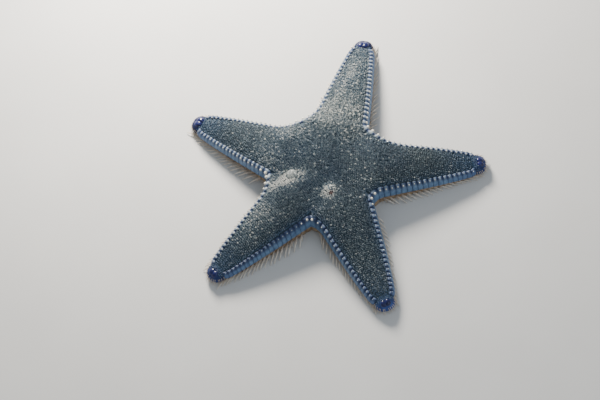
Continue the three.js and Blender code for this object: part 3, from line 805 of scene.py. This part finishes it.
# How far along a plate's section is still its top, from 1 to 0
def topness(down):
    share = np.clip((rim["topFrom"] - down) / rim["topFade"], 0, 1)
    return share * share * (3 - 2 * share)


# A block bent over a section that follows the rim. edgeDrop lowers it at its four edges.
def bentBlock(template, arm, side, shares, section, sunk, edgeDrop):
    along, down, depth = template[0].T
    share = mix(shares[0], shares[1], (along + 1) / 2)
    point, out = rimAt(arm, side, share)
    spots, normals = smoothSection(section, (down + 1) / 2)
    inward = (depth - 1) / 2 * (sunk - edgeDrop) - edgeDrop
    outs, rises = spots[:, 0] + normals[:, 0] * inward, spots[:, 1] + normals[:, 1] * inward
    outs = outs - rim["endNarrow"] * np.clip((share - rim["endFrom"]) / (1 - rim["endFrom"]), 0, 1) ** 2
    return np.concatenate([point + out * outs[:, None], rises[:, None]], axis=1)


def plateShares(arm, side):
    edges = (np.arange(rim["perSide"] + 1) / rim["perSide"]) ** rim["spread"]
    gap = rim["gap"] / 2 / arm["rims"][side]["length"]
    return [(edges[i] + gap, edges[i + 1] - gap) for i in range(rim["perSide"])]


# A spot on a section that follows the rim, with its outward axis and the one along the rim
def sectionSpot(arm, side, share, section, down, step=0.01):
    point, out = rimAt(arm, side, np.array([share]))
    spot, normal = smoothSection(section, np.array([down]))
    origin = raised(point[0] + out[0] * spot[0, 0], spot[0, 1])
    outward = raised(out[0] * normal[0, 0], normal[0, 1])
    ahead, _ = rimAt(arm, side, np.array([min(share + step, 1)]))
    behind, _ = rimAt(arm, side, np.array([max(share - step, 0)]))
    return origin, outward, unit(raised(ahead[0] - behind[0]))


# A grid of cells on the unwrap, one for each plate, so that a plate keeps its own markings
def cellGrid(count, columns=8, filled=0.92):
    rows = math.ceil(count / columns)
    number = np.arange(count)
    middles = np.stack([(number % columns + 0.5) / columns, (number // columns + 0.5) / rows], axis=1)
    return middles, (filled / columns, filled / rows)


def makeRimPlates():
    block, ball = blockTemplate(7), ballTemplate(around=10, up=7)
    along, down, _ = block[0].T
    top, edge = topness(down), np.abs(along)
    band, rung = rim["bandDrop"] * edge ** rim["bandPower"], rim["rungDrop"] * edge ** rim["rungPower"]
    for arm in arms:
        plates, tipward, sunlitShares, beads, beadRoots, pale = [], [], [], [], [], []
        for side in (1, -1):
            sunlit = bySide(rim["sunlit"], arm, side)
            drop = np.maximum(mix(band, rung * mix(rim["quietRung"], 1, sunlit), top),
                              rim["endDrop"] * np.abs(down) ** rim["endPower"])
            for low, high in plateShares(arm, side):
                share = (low + high) / 2
                section = plateSection(share, sunlit)
                plates.append(bentBlock(block, arm, side, (low, high), section, rim["sunk"], drop))
                tipward.append(rim["tipBlue"] * tipShare(share))
                sunlitShares.append([sunlit])
                notch = max(0, 1 - share / rim["notchReach"])
                sizes = (rim["innerBead"] * (1 - notch) * sunlit,
                         rim["outerBead"] * mix(rim["quietOuter"], 1, sunlit) + rim["notchBead"] * notch)
                for at, size in zip((rim["beadShares"][0], mix(*rim["beadShares"][1:], sunlit)), sizes):
                    size *= mix(rim["rootBead"], rim["tipBead"], share) * vary(1, rim["beadVary"])[0]
                    if size < rim["leastBead"]:
                        continue
                    origin, outward, forward = sectionSpot(arm, side, share, section, at)
                    shape = turned(ball[0], (size, size, size * rim["beadFlat"]), forward, outward)
                    beads.append(origin + outward * size * rim["beadRaise"] + shape)
                    beadRoots.append(unwrapped(arm, share, side * 0.98, "back"))
                    # Bead paleness: painted light, paler on the lit sides, and their own cream toward the
                    # notch and the root, with some at random
                    tone = mix(*rim["paleWhereLit"], sunlit) + mix(*rim["paleAlong"], share)
                    pale.append(limited(tone + rim["paleNotch"] * notch + rng.normal(0, rim["paleVary"])))
        cells, cell = cellGrid(len(plates))
        # Painted light on the plates' tops. The ridge layer is a painted highlight: pale crests on the lit
        # sides. The seams and shade layer darkens the seams; as painted shade it also darkens the gaps
        # between rungs on the lit sides and the whole top on the shaded sides.
        gap = np.clip((edge - rim["gapFrom"]) / rim["gapFrom"], 0, 1)
        dark = mix(1, rim["gapShade"] * gap, np.clip(np.array(sunlitShares) * rim["sunlitFull"], 0, 1)) * top
        values = {"tipward": tipward, "ridge": np.array(sunlitShares) * top * (1 - gap),
                  "seamsAndShade": np.maximum(dark, rim["seamDark"] * edge ** rim["seamPower"])}
        joinedCopies(f"rim_plates_{arm['name']}", block, plates, cells, "plates", values, cell)
        joinedCopies(f"rim_beads_{arm['name']}", ball, beads, beadRoots, "beads", {"pale": pale})


makeRimPlates()
print("rim plates made")

# Lower plates under the band, and the comb of spines that stands out from them along the floor. Length and
# lean are for the right and the left side of each arm. Each plate has one spine of every row: its shift
# along the rim, its share of the rim's rise, and its shares of width and of length.
comb = {"length": {"right": (3.8, 3.8), "far": (4.8, 4.0), "left": (4.2, 5.0), "near_left": (4.0, 4.8),
                   "near_right": (3.8, 3.8)},
        "lean": {"right": (66, 48), "far": (70, 50), "left": (48, 62), "near_left": (48, 60),
                 "near_right": (64, 64)},
        "rows": [(0.0, 0.31, 1.0, 1.0), (0.14, 0.2, 0.6, 0.45), (-0.48, 0.24, 0.45, 0.27),
                 (0.52, 0.22, 0.45, 0.25)],
        "thick": 0.36, "wide": 0.56, "tip": 0.42, "taper": 2.6, "hump": 0.05, "firstPlate": 1,
        "leanSpread": 16, "mostLean": 74, "leanVary": (-4, 4), "lengthVary": (0.92, 1.08),
        "rootShort": 0.8, "rootShortTo": 0.2, "tipShort": 0.8, "tipThin": 0.8, "rootOut": 0.3, "tipOut": 0.5,
        "tipRise": 0.3, "riseVary": (0.7, 1.1), "paleRun": 1.6}

# A lower section runs under the band and inward: out, share of the reach, share of the rise, lift
lower = {"section": [(0.15, 0, 0.42, 0), (0.5, 0, 0.36, 0), (0.74, 0, 0.22, 0), (0.5, 0, 0, 0.12),
                     (0, 0, 0, 0.05), (0, 0.5, 0, 0.06), (0, 1, 0, 0.12)],
         "sunk": 0.5, "edgeDrop": 0.16, "seamPower": 4, "endPower": 8, "reach": 5.0, "leastReach": 0.6,
         "leastTurn": 0.3, "furrowRim": 1.25}


def lowerSection(arm, side, share):
    point, outward = rimAt(arm, side, np.array([share]))
    aside = side * point[0] @ arm["across"] - star["furrowHalf"] - lower["furrowRim"]
    turn = max(side * outward[0] @ arm["across"], lower["leastTurn"])
    reach = max(lower["leastReach"], min(lower["reach"], aside / turn))
    return [(out - reach * inward, rimRise(share) * part + lift)
            for out, inward, part, lift in lower["section"]]


def makeLowerRim():
    block, spine = blockTemplate(6), spineTemplate(tip=comb["tip"], power=comb["taper"])
    along, down, _ = np.abs(block[0]).T
    drop = lower["edgeDrop"] * np.maximum(along ** lower["seamPower"], down ** lower["endPower"])
    for arm in arms:
        plates, spines, sizes = [], [], []
        for side in (1, -1):
            length, mostLean = bySide(comb["length"], arm, side), bySide(comb["lean"], arm, side)
            for number, (low, high) in enumerate(plateShares(arm, side)):
                share = (low + high) / 2
                section = lowerSection(arm, side, share)
                plates.append(bentBlock(block, arm, side, (low, high), section, lower["sunk"], drop))
                if number < comb["firstPlate"]:
                    continue
                point, out = (raised(part[0]) for part in rimAt(arm, side, np.array([share])))
                forward = np.cross(out, upward) * side
                for shift, rise, size, reach in comb["rows"]:
                    lean = min(mostLean + comb["leanSpread"] * (2 * share - 1), comb["mostLean"])
                    lean = math.radians(lean + rng.uniform(*comb["leanVary"]))
                    span = length * reach * rng.uniform(*comb["lengthVary"])
                    span *= mix(comb["rootShort"], 1, limited(share / comb["rootShortTo"]))
                    span *= mix(1, comb["tipShort"], share)
                    direction = out * math.cos(lean) + forward * math.sin(lean)
                    foot = point + forward * shift
                    root = foot + direction * comb["rootOut"] + upward * rimRise(share) * rise
                    tip = foot + out * comb["tipOut"] + direction * span
                    tip[2] = comb["tipRise"] * rng.uniform(*comb["riseVary"])
                    spines.append((root, tip, unwrapped(arm, share, side * 0.9, "under")))
                    sizes.append(size * mix(1, comb["tipThin"], share))
        cells, cell = cellGrid(len(plates))
        joinedCopies(f"lower_plates_{arm['name']}", block, plates, cells, "lower", None, cell)
        wide, thick = comb["wide"] * np.array(sizes), comb["thick"] * np.array(sizes)
        joinedSpines(f"comb_{arm['name']}", spine, spines, "spines", wide, thick, comb["hump"],
                     {"outward": np.clip(spine[0][:, 0] * comb["paleRun"], 0, 1)})


makeLowerRim()
print("lower plates and comb made")

# The plate that ends each arm: a low dome, two dark lobes side by side on it, and a fringe of tiny spines in
# levels, given by place on the dome, share of length, and how far the tip keeps to the root's rise
# Deep is how much dark navy each end plate shows, set by arm. It is partly painted light: the lower values
# leave a paler blue as painted sheen.
cap = {"centre": 0.35, "back": 2.3, "ahead": 2.7, "half": 2.78, "base": 0.22, "middle": 1.35, "rise": 3.3,
       "square": 0.85, "domePower": 0.9, "cleft": 0.45, "cleftWidth": 0.3, "cleftFrom": 0.4,
       "blueFrom": -0.1, "blueRun": 0.8, "underFrom": 0.1, "underRun": 0.5, "deepFrom": -0.5, "deepRun": 0.5,
       "deep": {"far": 0.97, "left": 0.95, "near_left": 0.6, "right": 0.55, "near_right": 0.1},
       "lobeAhead": 1.5, "lobeBack": {"far": 0.6, "left": 0.6}, "lobeGrow": 1.25, "lobeAside": 0.56,
       "lobeSink": 0.34, "lobeSize": (0.98, 0.82, 0.6), "lobeLean": 0.4, "lobeDent": 0.05,
       "dentWaves": (9, 11, 8),
       "levels": [(-0.45, 1.0, 0.15), (0.0, 0.75, 0.375), (0.42, 0.42, 0.585)], "spines": 17, "fan": 104,
       "fanVary": (-4, 4), "fanAhead": 0.75, "rootAt": 0.9, "spineLength": 1.1, "spineVary": (0.75, 1.15),
       "spineWide": 0.2, "spineThick": 0.16, "tipRise": 0.3, "hump": 0.06,
       "crownSpacing": 0.44, "crownsAhead": range(-1, 4), "crownsAside": range(-5, 6), "crownStray": 0.06,
       "crownLimit": 0.42, "crownFlare": 0.35, "crownEdge": 0.86, "crownSize": 0.2, "crownVary": 0.15,
       "crownHeight": 0.26, "crownSplay": (0.25, 0.3), "crownTilt": 0.12, "crownTone": 0.5, "crownBlue": 0.7}


# A point of the dome from one of a unit ball, as how far ahead and aside of the arm's end, and its rise
def capPoint(x, y, z):
    ahead = cap["centre"] + x * (cap["ahead"] if x > 0 else cap["back"])
    aside = math.copysign(abs(y) ** cap["square"], y) * cap["half"]
    span = cap["rise"] - cap["middle"] if z > 0 else cap["middle"] - cap["base"]
    rise = cap["middle"] + math.copysign(abs(z) ** cap["domePower"], z) * span
    valley = math.exp(-(aside / cap["cleftWidth"]) ** 2) * limited(ahead - cap["cleftFrom"])
    return np.array([ahead, aside, rise - cap["cleft"] * valley * max(z, 0)])


def capSpot(ahead, aside):
    x = (ahead - cap["centre"]) / (cap["ahead"] if ahead > cap["centre"] else cap["back"])
    y = math.copysign((abs(aside) / cap["half"]) ** (1 / cap["square"]), aside)
    return capPoint(x, y, math.sqrt(max(0, 1 - x * x - y * y)))


def capDome(bm, layers, deep, atEnd):
    made = bmesh.ops.create_uvsphere(bm, u_segments=56, v_segments=32, radius=1,
                                     matrix=Matrix.Rotation(math.pi / 2, 4, "Y"))["verts"]
    for vertex in made:
        x, _, z = vertex.co
        vertex[layers["outward"]] = limited((x - cap["blueFrom"]) / cap["blueRun"])
        vertex[layers["under"]] = limited(-(z + cap["underFrom"]) / cap["underRun"])
        vertex[layers["deep"]] = deep * limited((x - cap["deepFrom"]) / cap["deepRun"])
        vertex.co = atEnd @ Vector(capPoint(*vertex.co))


def capLobe(bm, side, lobeBack, atEnd):
    place = Vector(capSpot(cap["lobeAhead"] - lobeBack, side * cap["lobeAside"]))
    place.z -= cap["lobeSink"]
    made = bmesh.ops.create_uvsphere(bm, u_segments=32, v_segments=20, radius=1)["verts"]
    for vertex in made:
        x, y, z = (part * wave for part, wave in zip(vertex.co, cap["dentWaves"]))
        vertex.co *= 1 + cap["lobeDent"] * math.sin(x + side) * math.sin(y) * math.sin(z)
    turn = Matrix.Rotation(cap["lobeLean"], 4, "Y") @ Matrix.Scale(cap["lobeGrow"] if lobeBack else 1, 4)
    bmesh.ops.transform(bm, verts=made, matrix=atEnd @ Matrix.Translation(place) @ turn
                        @ Matrix.Diagonal((*cap["lobeSize"], 1)))


# Roots, tips and places on the unwrap of the fringe, as seen from the arm's end
def capFringe(arm):
    for i in range(cap["spines"]):
        angle = mix(-cap["fan"], cap["fan"], i / (cap["spines"] - 1)) + rng.uniform(*cap["fanVary"])
        out, ahead = heading(angle), raised(heading(angle * cap["fanAhead"]))
        for level, reach, follow in cap["levels"]:
            root = capPoint(*out * cap["rootAt"], level)
            tip = root + ahead * cap["spineLength"] * reach * rng.uniform(*cap["spineVary"])
            tip[2] = mix(cap["tipRise"], root[2], follow)
            yield root, tip, unwrapped(arm, 0.99, 0.8 * out[1], "under")


# Crowns on the rear of the dome and their places on the unwrap, as seen from the arm's end
def capCoat(arm, crown, lobeBack):
    for cell in ((a, b) for a in cap["crownsAhead"] for b in cap["crownsAside"]):
        ahead, aside = (step * cap["crownSpacing"] + rng.normal(0, cap["crownStray"]) for step in cell)
        limit = cap["crownLimit"] - lobeBack + cap["crownFlare"] * abs(aside)
        if abs(aside) > cap["half"] * cap["crownEdge"] or ahead > limit:
            continue
        size = cap["crownSize"] * vary(1, cap["crownVary"])[0]
        splay = np.array([ahead, aside, 1.0]) * (*cap["crownSplay"], 1)
        up = unit(splay + rng.normal(0, cap["crownTilt"], 3))
        shape = turned(crown[0], (size, size, cap["crownHeight"]), unit(np.cross(up, [0.1, 1, 0])), up)
        yield (capSpot(ahead, aside) - upward * crowns["sink"] + shape,
               unwrapped(arm, 0.97, aside / cap["half"], "back"))


def makeEndPlates(crown):
    bm, lobeBm = bmesh.new(), bmesh.new()
    layers = {key: bm.verts.layers.float.new(key) for key in ("outward", "under", "deep")}
    spine, spines, coat = spineTemplate(rings=4, sides=6), [], []
    for arm in arms:
        axes = np.stack([raised(arm["axis"]), raised(arm["across"]), upward])
        end = arm["rimEnd"] * axes[0]
        atEnd = Matrix.Translation(Vector(starMiddle + end)) @ Matrix(axes).transposed().to_4x4()
        lobeBack = cap["lobeBack"].get(arm["name"], 0)
        capDome(bm, layers, cap["deep"][arm["name"]], atEnd)
        for side in (1, -1):
            capLobe(lobeBm, side, lobeBack, atEnd)
        spines += [(end + root @ axes, end + tip @ axes, uv) for root, tip, uv in capFringe(arm)]
        coat += [(end + shape @ axes, uv) for shape, uv in capCoat(arm, crown, lobeBack)]
    piece = smoothPiece(bm, "end_plates", "caps")
    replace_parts(piece, *[f"tip_{arm['name']}" for arm in arms])
    smoothPiece(lobeBm, "end_lobes", "lobes")
    tone = rng.normal(cap["crownTone"], crowns["toneVary"], len(coat))
    values = {"tone": granuleTones(tone, crownParts(crown)), "tipward": tone * 0 + cap["crownBlue"]}
    joinedCopies("end_crowns", crown, *zip(*coat), "crowns", values)
    joinedSmallSpines("end_spines", spine, spines, cap["spineWide"], cap["spineThick"], cap["hump"])


makeEndPlates(crownTemplate())
print("end plates made")

# The mouth side: blocks and little spines along each furrow, tube feet in it, scales between, and five jaws.
# Each block has five spines: lean in degrees, 1 over the furrow or -1 away from it, and share of length.
oral = {"pitch": 1.25, "aside": 0.52, "block": (0.53, 0.5, 0.3), "blockVary": 0.06, "blockRise": 0.42,
        "firstBlock": 4.2,
        "blockSpines": [(-30, 1, 1), (0, 1, 1), (30, 1, 1), (20, -1, 0.7), (55, -1, 0.75)],
        "leanVary": (-6, 6), "rootOut": 0.22, "rootSink": 0.1, "tipOut": 0.3, "spineLength": 0.95,
        "spineVary": (0.88, 1.1), "spineWide": 0.26, "spineRise": 0.22, "riseVary": (0.6, 1.2), "hump": 0.04,
        "feet": 16, "footStagger": 0.25, "firstFoot": 4.6, "lastFoot": 1.6, "footAside": 0.68,
        "footWide": 1.04, "footThin": 0.6, "footSink": 0.5, "footGround": 0.3, "curlAlong": (-0.5, 0.5),
        "curlAside": (-0.1, 0.35), "footHump": 0.03,
        "scaleSpacing": 0.85, "scaleMargin": 0.4, "furrowClear": 0.3, "jawsClear": 5.2, "scaleEnd": 0.02,
        "scaleAcross": 0.2, "scaleSize": (0.46, 0.46, 0.2), "scaleVary": 0.1, "scaleRise": 0.34,
        "scaleSpine": 0.5, "scaleTurn": (0.3, 0.3, 0), "scaleRoot": 0.1, "scaleTip": 0.2,
        "jawAt": 3.5, "jawAside": 0.55, "jawTurn": 0.22, "jaw": (1.6, 0.5, 0.6), "jawRise": 0.78, "teeth": 5,
        "teethFrom": 1.25, "teethTo": -0.7, "teethAside": 0.2, "firstTooth": 0.75, "lastTooth": 0.225,
        "toothSpread": 0.6, "toothRise": 0.3, "toothHump": 0.03}


def makeFurrows():
    pebble, spine = blockTemplate(3, roundness=0.45), spineTemplate(rings=3, sides=6)
    foot = spineTemplate(rings=8, sides=10, tip=0.1, power=2.2)
    blockAside = star["furrowHalf"] + oral["aside"]
    shown = 1 - (oral["footAside"] / star["furrowHalf"]) ** 2
    for arm in arms:
        axis, across = raised(arm["axis"]), raised(arm["across"])
        blocks, patches, spines, feet = [], [], [], []
        count = int((arm["rimEnd"] - oral["firstBlock"]) / oral["pitch"])
        for i, side in ((i, side) for i in range(count) for side in (1, -1)):
            at = oral["firstBlock"] + (i + 0.5) * oral["pitch"]
            middle = axis * at + side * across * blockAside + upward * oral["blockRise"]
            size = oral["block"] * vary(3, oral["blockVary"])
            blocks.append(middle + turned(pebble[0], size, axis, upward))
            patches.append(unwrapped(arm, at / arm["rimEnd"] - 1, side * 0.3, "under"))
            for lean, inward, reach in oral["blockSpines"]:
                turn = math.radians(lean + rng.uniform(*oral["leanVary"]))
                direction = -side * inward * across * math.cos(turn) + axis * math.sin(turn)
                root = middle + direction * oral["rootOut"] - upward * oral["rootSink"]
                span = oral["tipOut"] + oral["spineLength"] * reach * rng.uniform(*oral["spineVary"])
                tip = middle + direction * span
                tip[2] = oral["spineRise"] * rng.uniform(*oral["riseVary"])
                spines.append((root, tip, patches[-1]))
        for i, side in ((i, side) for i in range(oral["feet"]) for side in (1, -1)):
            share = (i + 0.5 + oral["footStagger"] * side) / oral["feet"]
            at = mix(oral["firstFoot"], arm["rimEnd"] - oral["lastFoot"], share)
            slope = limited((at - star["rimRootAt"]) / (arm["rimEnd"] - star["rimRootAt"]))
            ceiling = star["furrowDepth"] * rimRise(slope) * shown
            root = axis * at + side * across * oral["footAside"] + upward * (ceiling + oral["footSink"])
            tip = root + axis * rng.uniform(*oral["curlAlong"])
            tip += side * across * rng.uniform(*oral["curlAside"])
            tip[2] = oral["footGround"]
            feet.append((root, tip, unwrapped(arm, at / arm["rimEnd"] - 1, side * 0.15, "under")))
        name, wide = arm["name"], oral["spineWide"]
        joinedCopies(f"furrow_blocks_{name}", pebble, blocks, patches, "oral")
        joinedSmallSpines(f"furrow_spines_{name}", spine, spines, wide, wide, oral["hump"])
        size = oral["footWide"] * mix(1, oral["footThin"], np.arange(oral["feet"]).repeat(2) / oral["feet"])
        joinedSpines(f"tube_feet_{name}", foot, feet, "feet", size, size, oral["footHump"])


def makeMouthSide():
    pebble, ball = blockTemplate(5, roundness=0.35), ballTemplate(around=8, up=5)
    spine, scales, jaws, spines = spineTemplate(rings=4, sides=6), [], [], []
    for arm in arms:
        t, across = rowPlaces(arm, oral["scaleSpacing"], lambda row, side: oral["scaleMargin"])
        place = rowPlace(arm, t, across)
        aside = np.abs(place @ arm["across"]) - star["furrowHalf"] - 2 * oral["aside"]
        room = np.where(t > 0, np.abs(across) < oral["scaleAcross"],
                        np.linalg.norm(place, axis=1) > oral["jawsClear"])
        kept = (aside > oral["furrowClear"]) & (t < oral["scaleEnd"]) & room
        for row, x, spot in zip(t[kept], across[kept], place[kept]):
            middle, where = raised(spot, oral["scaleRise"]), unwrapped(arm, row, x, "under")
            scales.append((middle + ball[0] * oral["scaleSize"] * vary(3, oral["scaleVary"]), where))
            turn = raised(unit(spot)) + rng.normal(0, oral["scaleTurn"])
            tip = middle + turn * oral["scaleSpine"] - upward * oral["scaleTip"]
            spines.append((middle - upward * oral["scaleRoot"], tip, where))
        inward = raised(unit(arm["rims"][1]["points"][0]))
        beside = np.cross(upward, inward)
        for side in (1, -1):
            middle = inward * oral["jawAt"] + side * beside * oral["jawAside"] + upward * oral["jawRise"]
            lean = unit(inward + side * beside * oral["jawTurn"])
            where = unwrapped(arm, -0.8, side * 0.5, "under")
            jaws.append((middle + turned(pebble[0], oral["jaw"], lean, upward), where))
            for share in np.arange(oral["teeth"]) / (oral["teeth"] - 1):
                root = middle - lean * mix(oral["teethFrom"], oral["teethTo"], share)
                root += side * np.cross(upward, lean) * oral["teethAside"] * share
                tip = root - inward * mix(oral["firstTooth"], oral["lastTooth"], share)
                tip += side * beside * oral["toothSpread"] * share
                tip[2] = oral["toothRise"]
                spines.append((root, tip, where))
    joinedCopies("oral_scales", ball, *zip(*scales), "oral")
    joinedCopies("jaws", pebble, *zip(*jaws), "oral")
    joinedSmallSpines("oral_spines", spine, spines, oral["spineWide"], oral["spineWide"], oral["toothHump"])


makeFurrows()
makeMouthSide()
print("mouth side made")

# Camera, lights and floor. Each light: its kind, its direction from the star, distance and size in metres,
# power and colour. The spot angle is in degrees.
view = {"elevation": 60.0, "azimuth": 13.0, "roll": -13.0, "distance": 600.0, "mmPerPixel": 0.269,
        "discAt": (327.8, 178.8), "discRise": 2.5, "frameWidth": 600, "frameHeight": 400, "sensor": 36.0,
        "clip": (0.01, 10)}
studio = {"lights": {"key": ("SPOT", (-50, 122, 84), 0.18, 0.06, 5.0, (1.0, 0.95, 0.87)),
                     "fill": ("AREA", (0.9, -0.7, 0.9), 0.7, 0.6, 1.3, (0.75, 0.86, 1.0))},
          "spotAngle": 165, "sky": (0.86, 0.93, 1.0, 1), "skyStrength": 0.45, "floorHalf": 1.5,
          "floorColours": ((0.60, 0.59, 0.57, 1), (0.64, 0.63, 0.61, 1), 30),
          "floorGrain": (900, 0.00005, 0.05), "floorRoughness": 0.8}


def makeCamera():
    elevation, azimuth = math.radians(view["elevation"]), math.radians(view["azimuth"])
    back = Vector((math.sin(azimuth) * math.cos(elevation), -math.cos(azimuth) * math.cos(elevation),
                   math.sin(elevation)))
    turn = (-back).to_track_quat("-Z", "Y").to_matrix() @ Matrix.Rotation(math.radians(view["roll"]), 3, "Z")
    right, up = turn.col[0], turn.col[1]
    focal = view["distance"] / view["mmPerPixel"]
    aside = (view["discAt"][0] - view["frameWidth"] / 2) / focal
    above = (view["frameHeight"] / 2 - view["discAt"][1]) / focal
    target = Vector((*star["centre"], view["discRise"]))
    place = target + (back - right * aside - up * above) * view["distance"]
    data = bpy.data.cameras.new("camera")
    data.sensor_width = view["sensor"]
    data.lens = focal / view["frameWidth"] * view["sensor"]
    data.clip_start, data.clip_end = view["clip"]
    camera = inScene("camera", data)
    camera.matrix_world = Matrix.Translation(place * mm) @ turn.to_4x4()
    bpy.context.scene.camera = camera


def makeLight(name, kind, direction, distance, size, power, colour):
    data = bpy.data.lights.new(name, kind)
    data.energy, data.color = power, colour
    if kind == "SPOT":
        data.spot_size, data.spot_blend = math.radians(studio["spotAngle"]), 1.0
        data.shadow_soft_size = size / 2
    else:
        data.shape, data.size = "DISK", size
    light = inScene(name, data)
    light.location = Vector(direction).normalized() * distance
    light.rotation_euler = (-Vector(direction)).to_track_quat("-Z", "Y").to_euler()


def makeFloor():
    bm = bmesh.new()
    bmesh.ops.create_grid(bm, x_segments=8, y_segments=8, size=studio["floorHalf"])
    finish = newFinish("floor", studio["floorColours"], grain=studio["floorGrain"],
                       roughness=studio["floorRoughness"])
    inScene("floor", meshOf(bm, "floor", finish))


def makeSky():
    world = bpy.data.worlds.new("studio")
    world.use_nodes = True
    sky = world.node_tree.nodes["Background"]
    sky.inputs["Color"].default_value = studio["sky"]
    sky.inputs["Strength"].default_value = studio["skyStrength"]
    bpy.context.scene.world = world


makeCamera()
for name, values in studio["lights"].items():
    makeLight(name, *values)
makeFloor()
makeSky()
print("camera, lights and floor made")
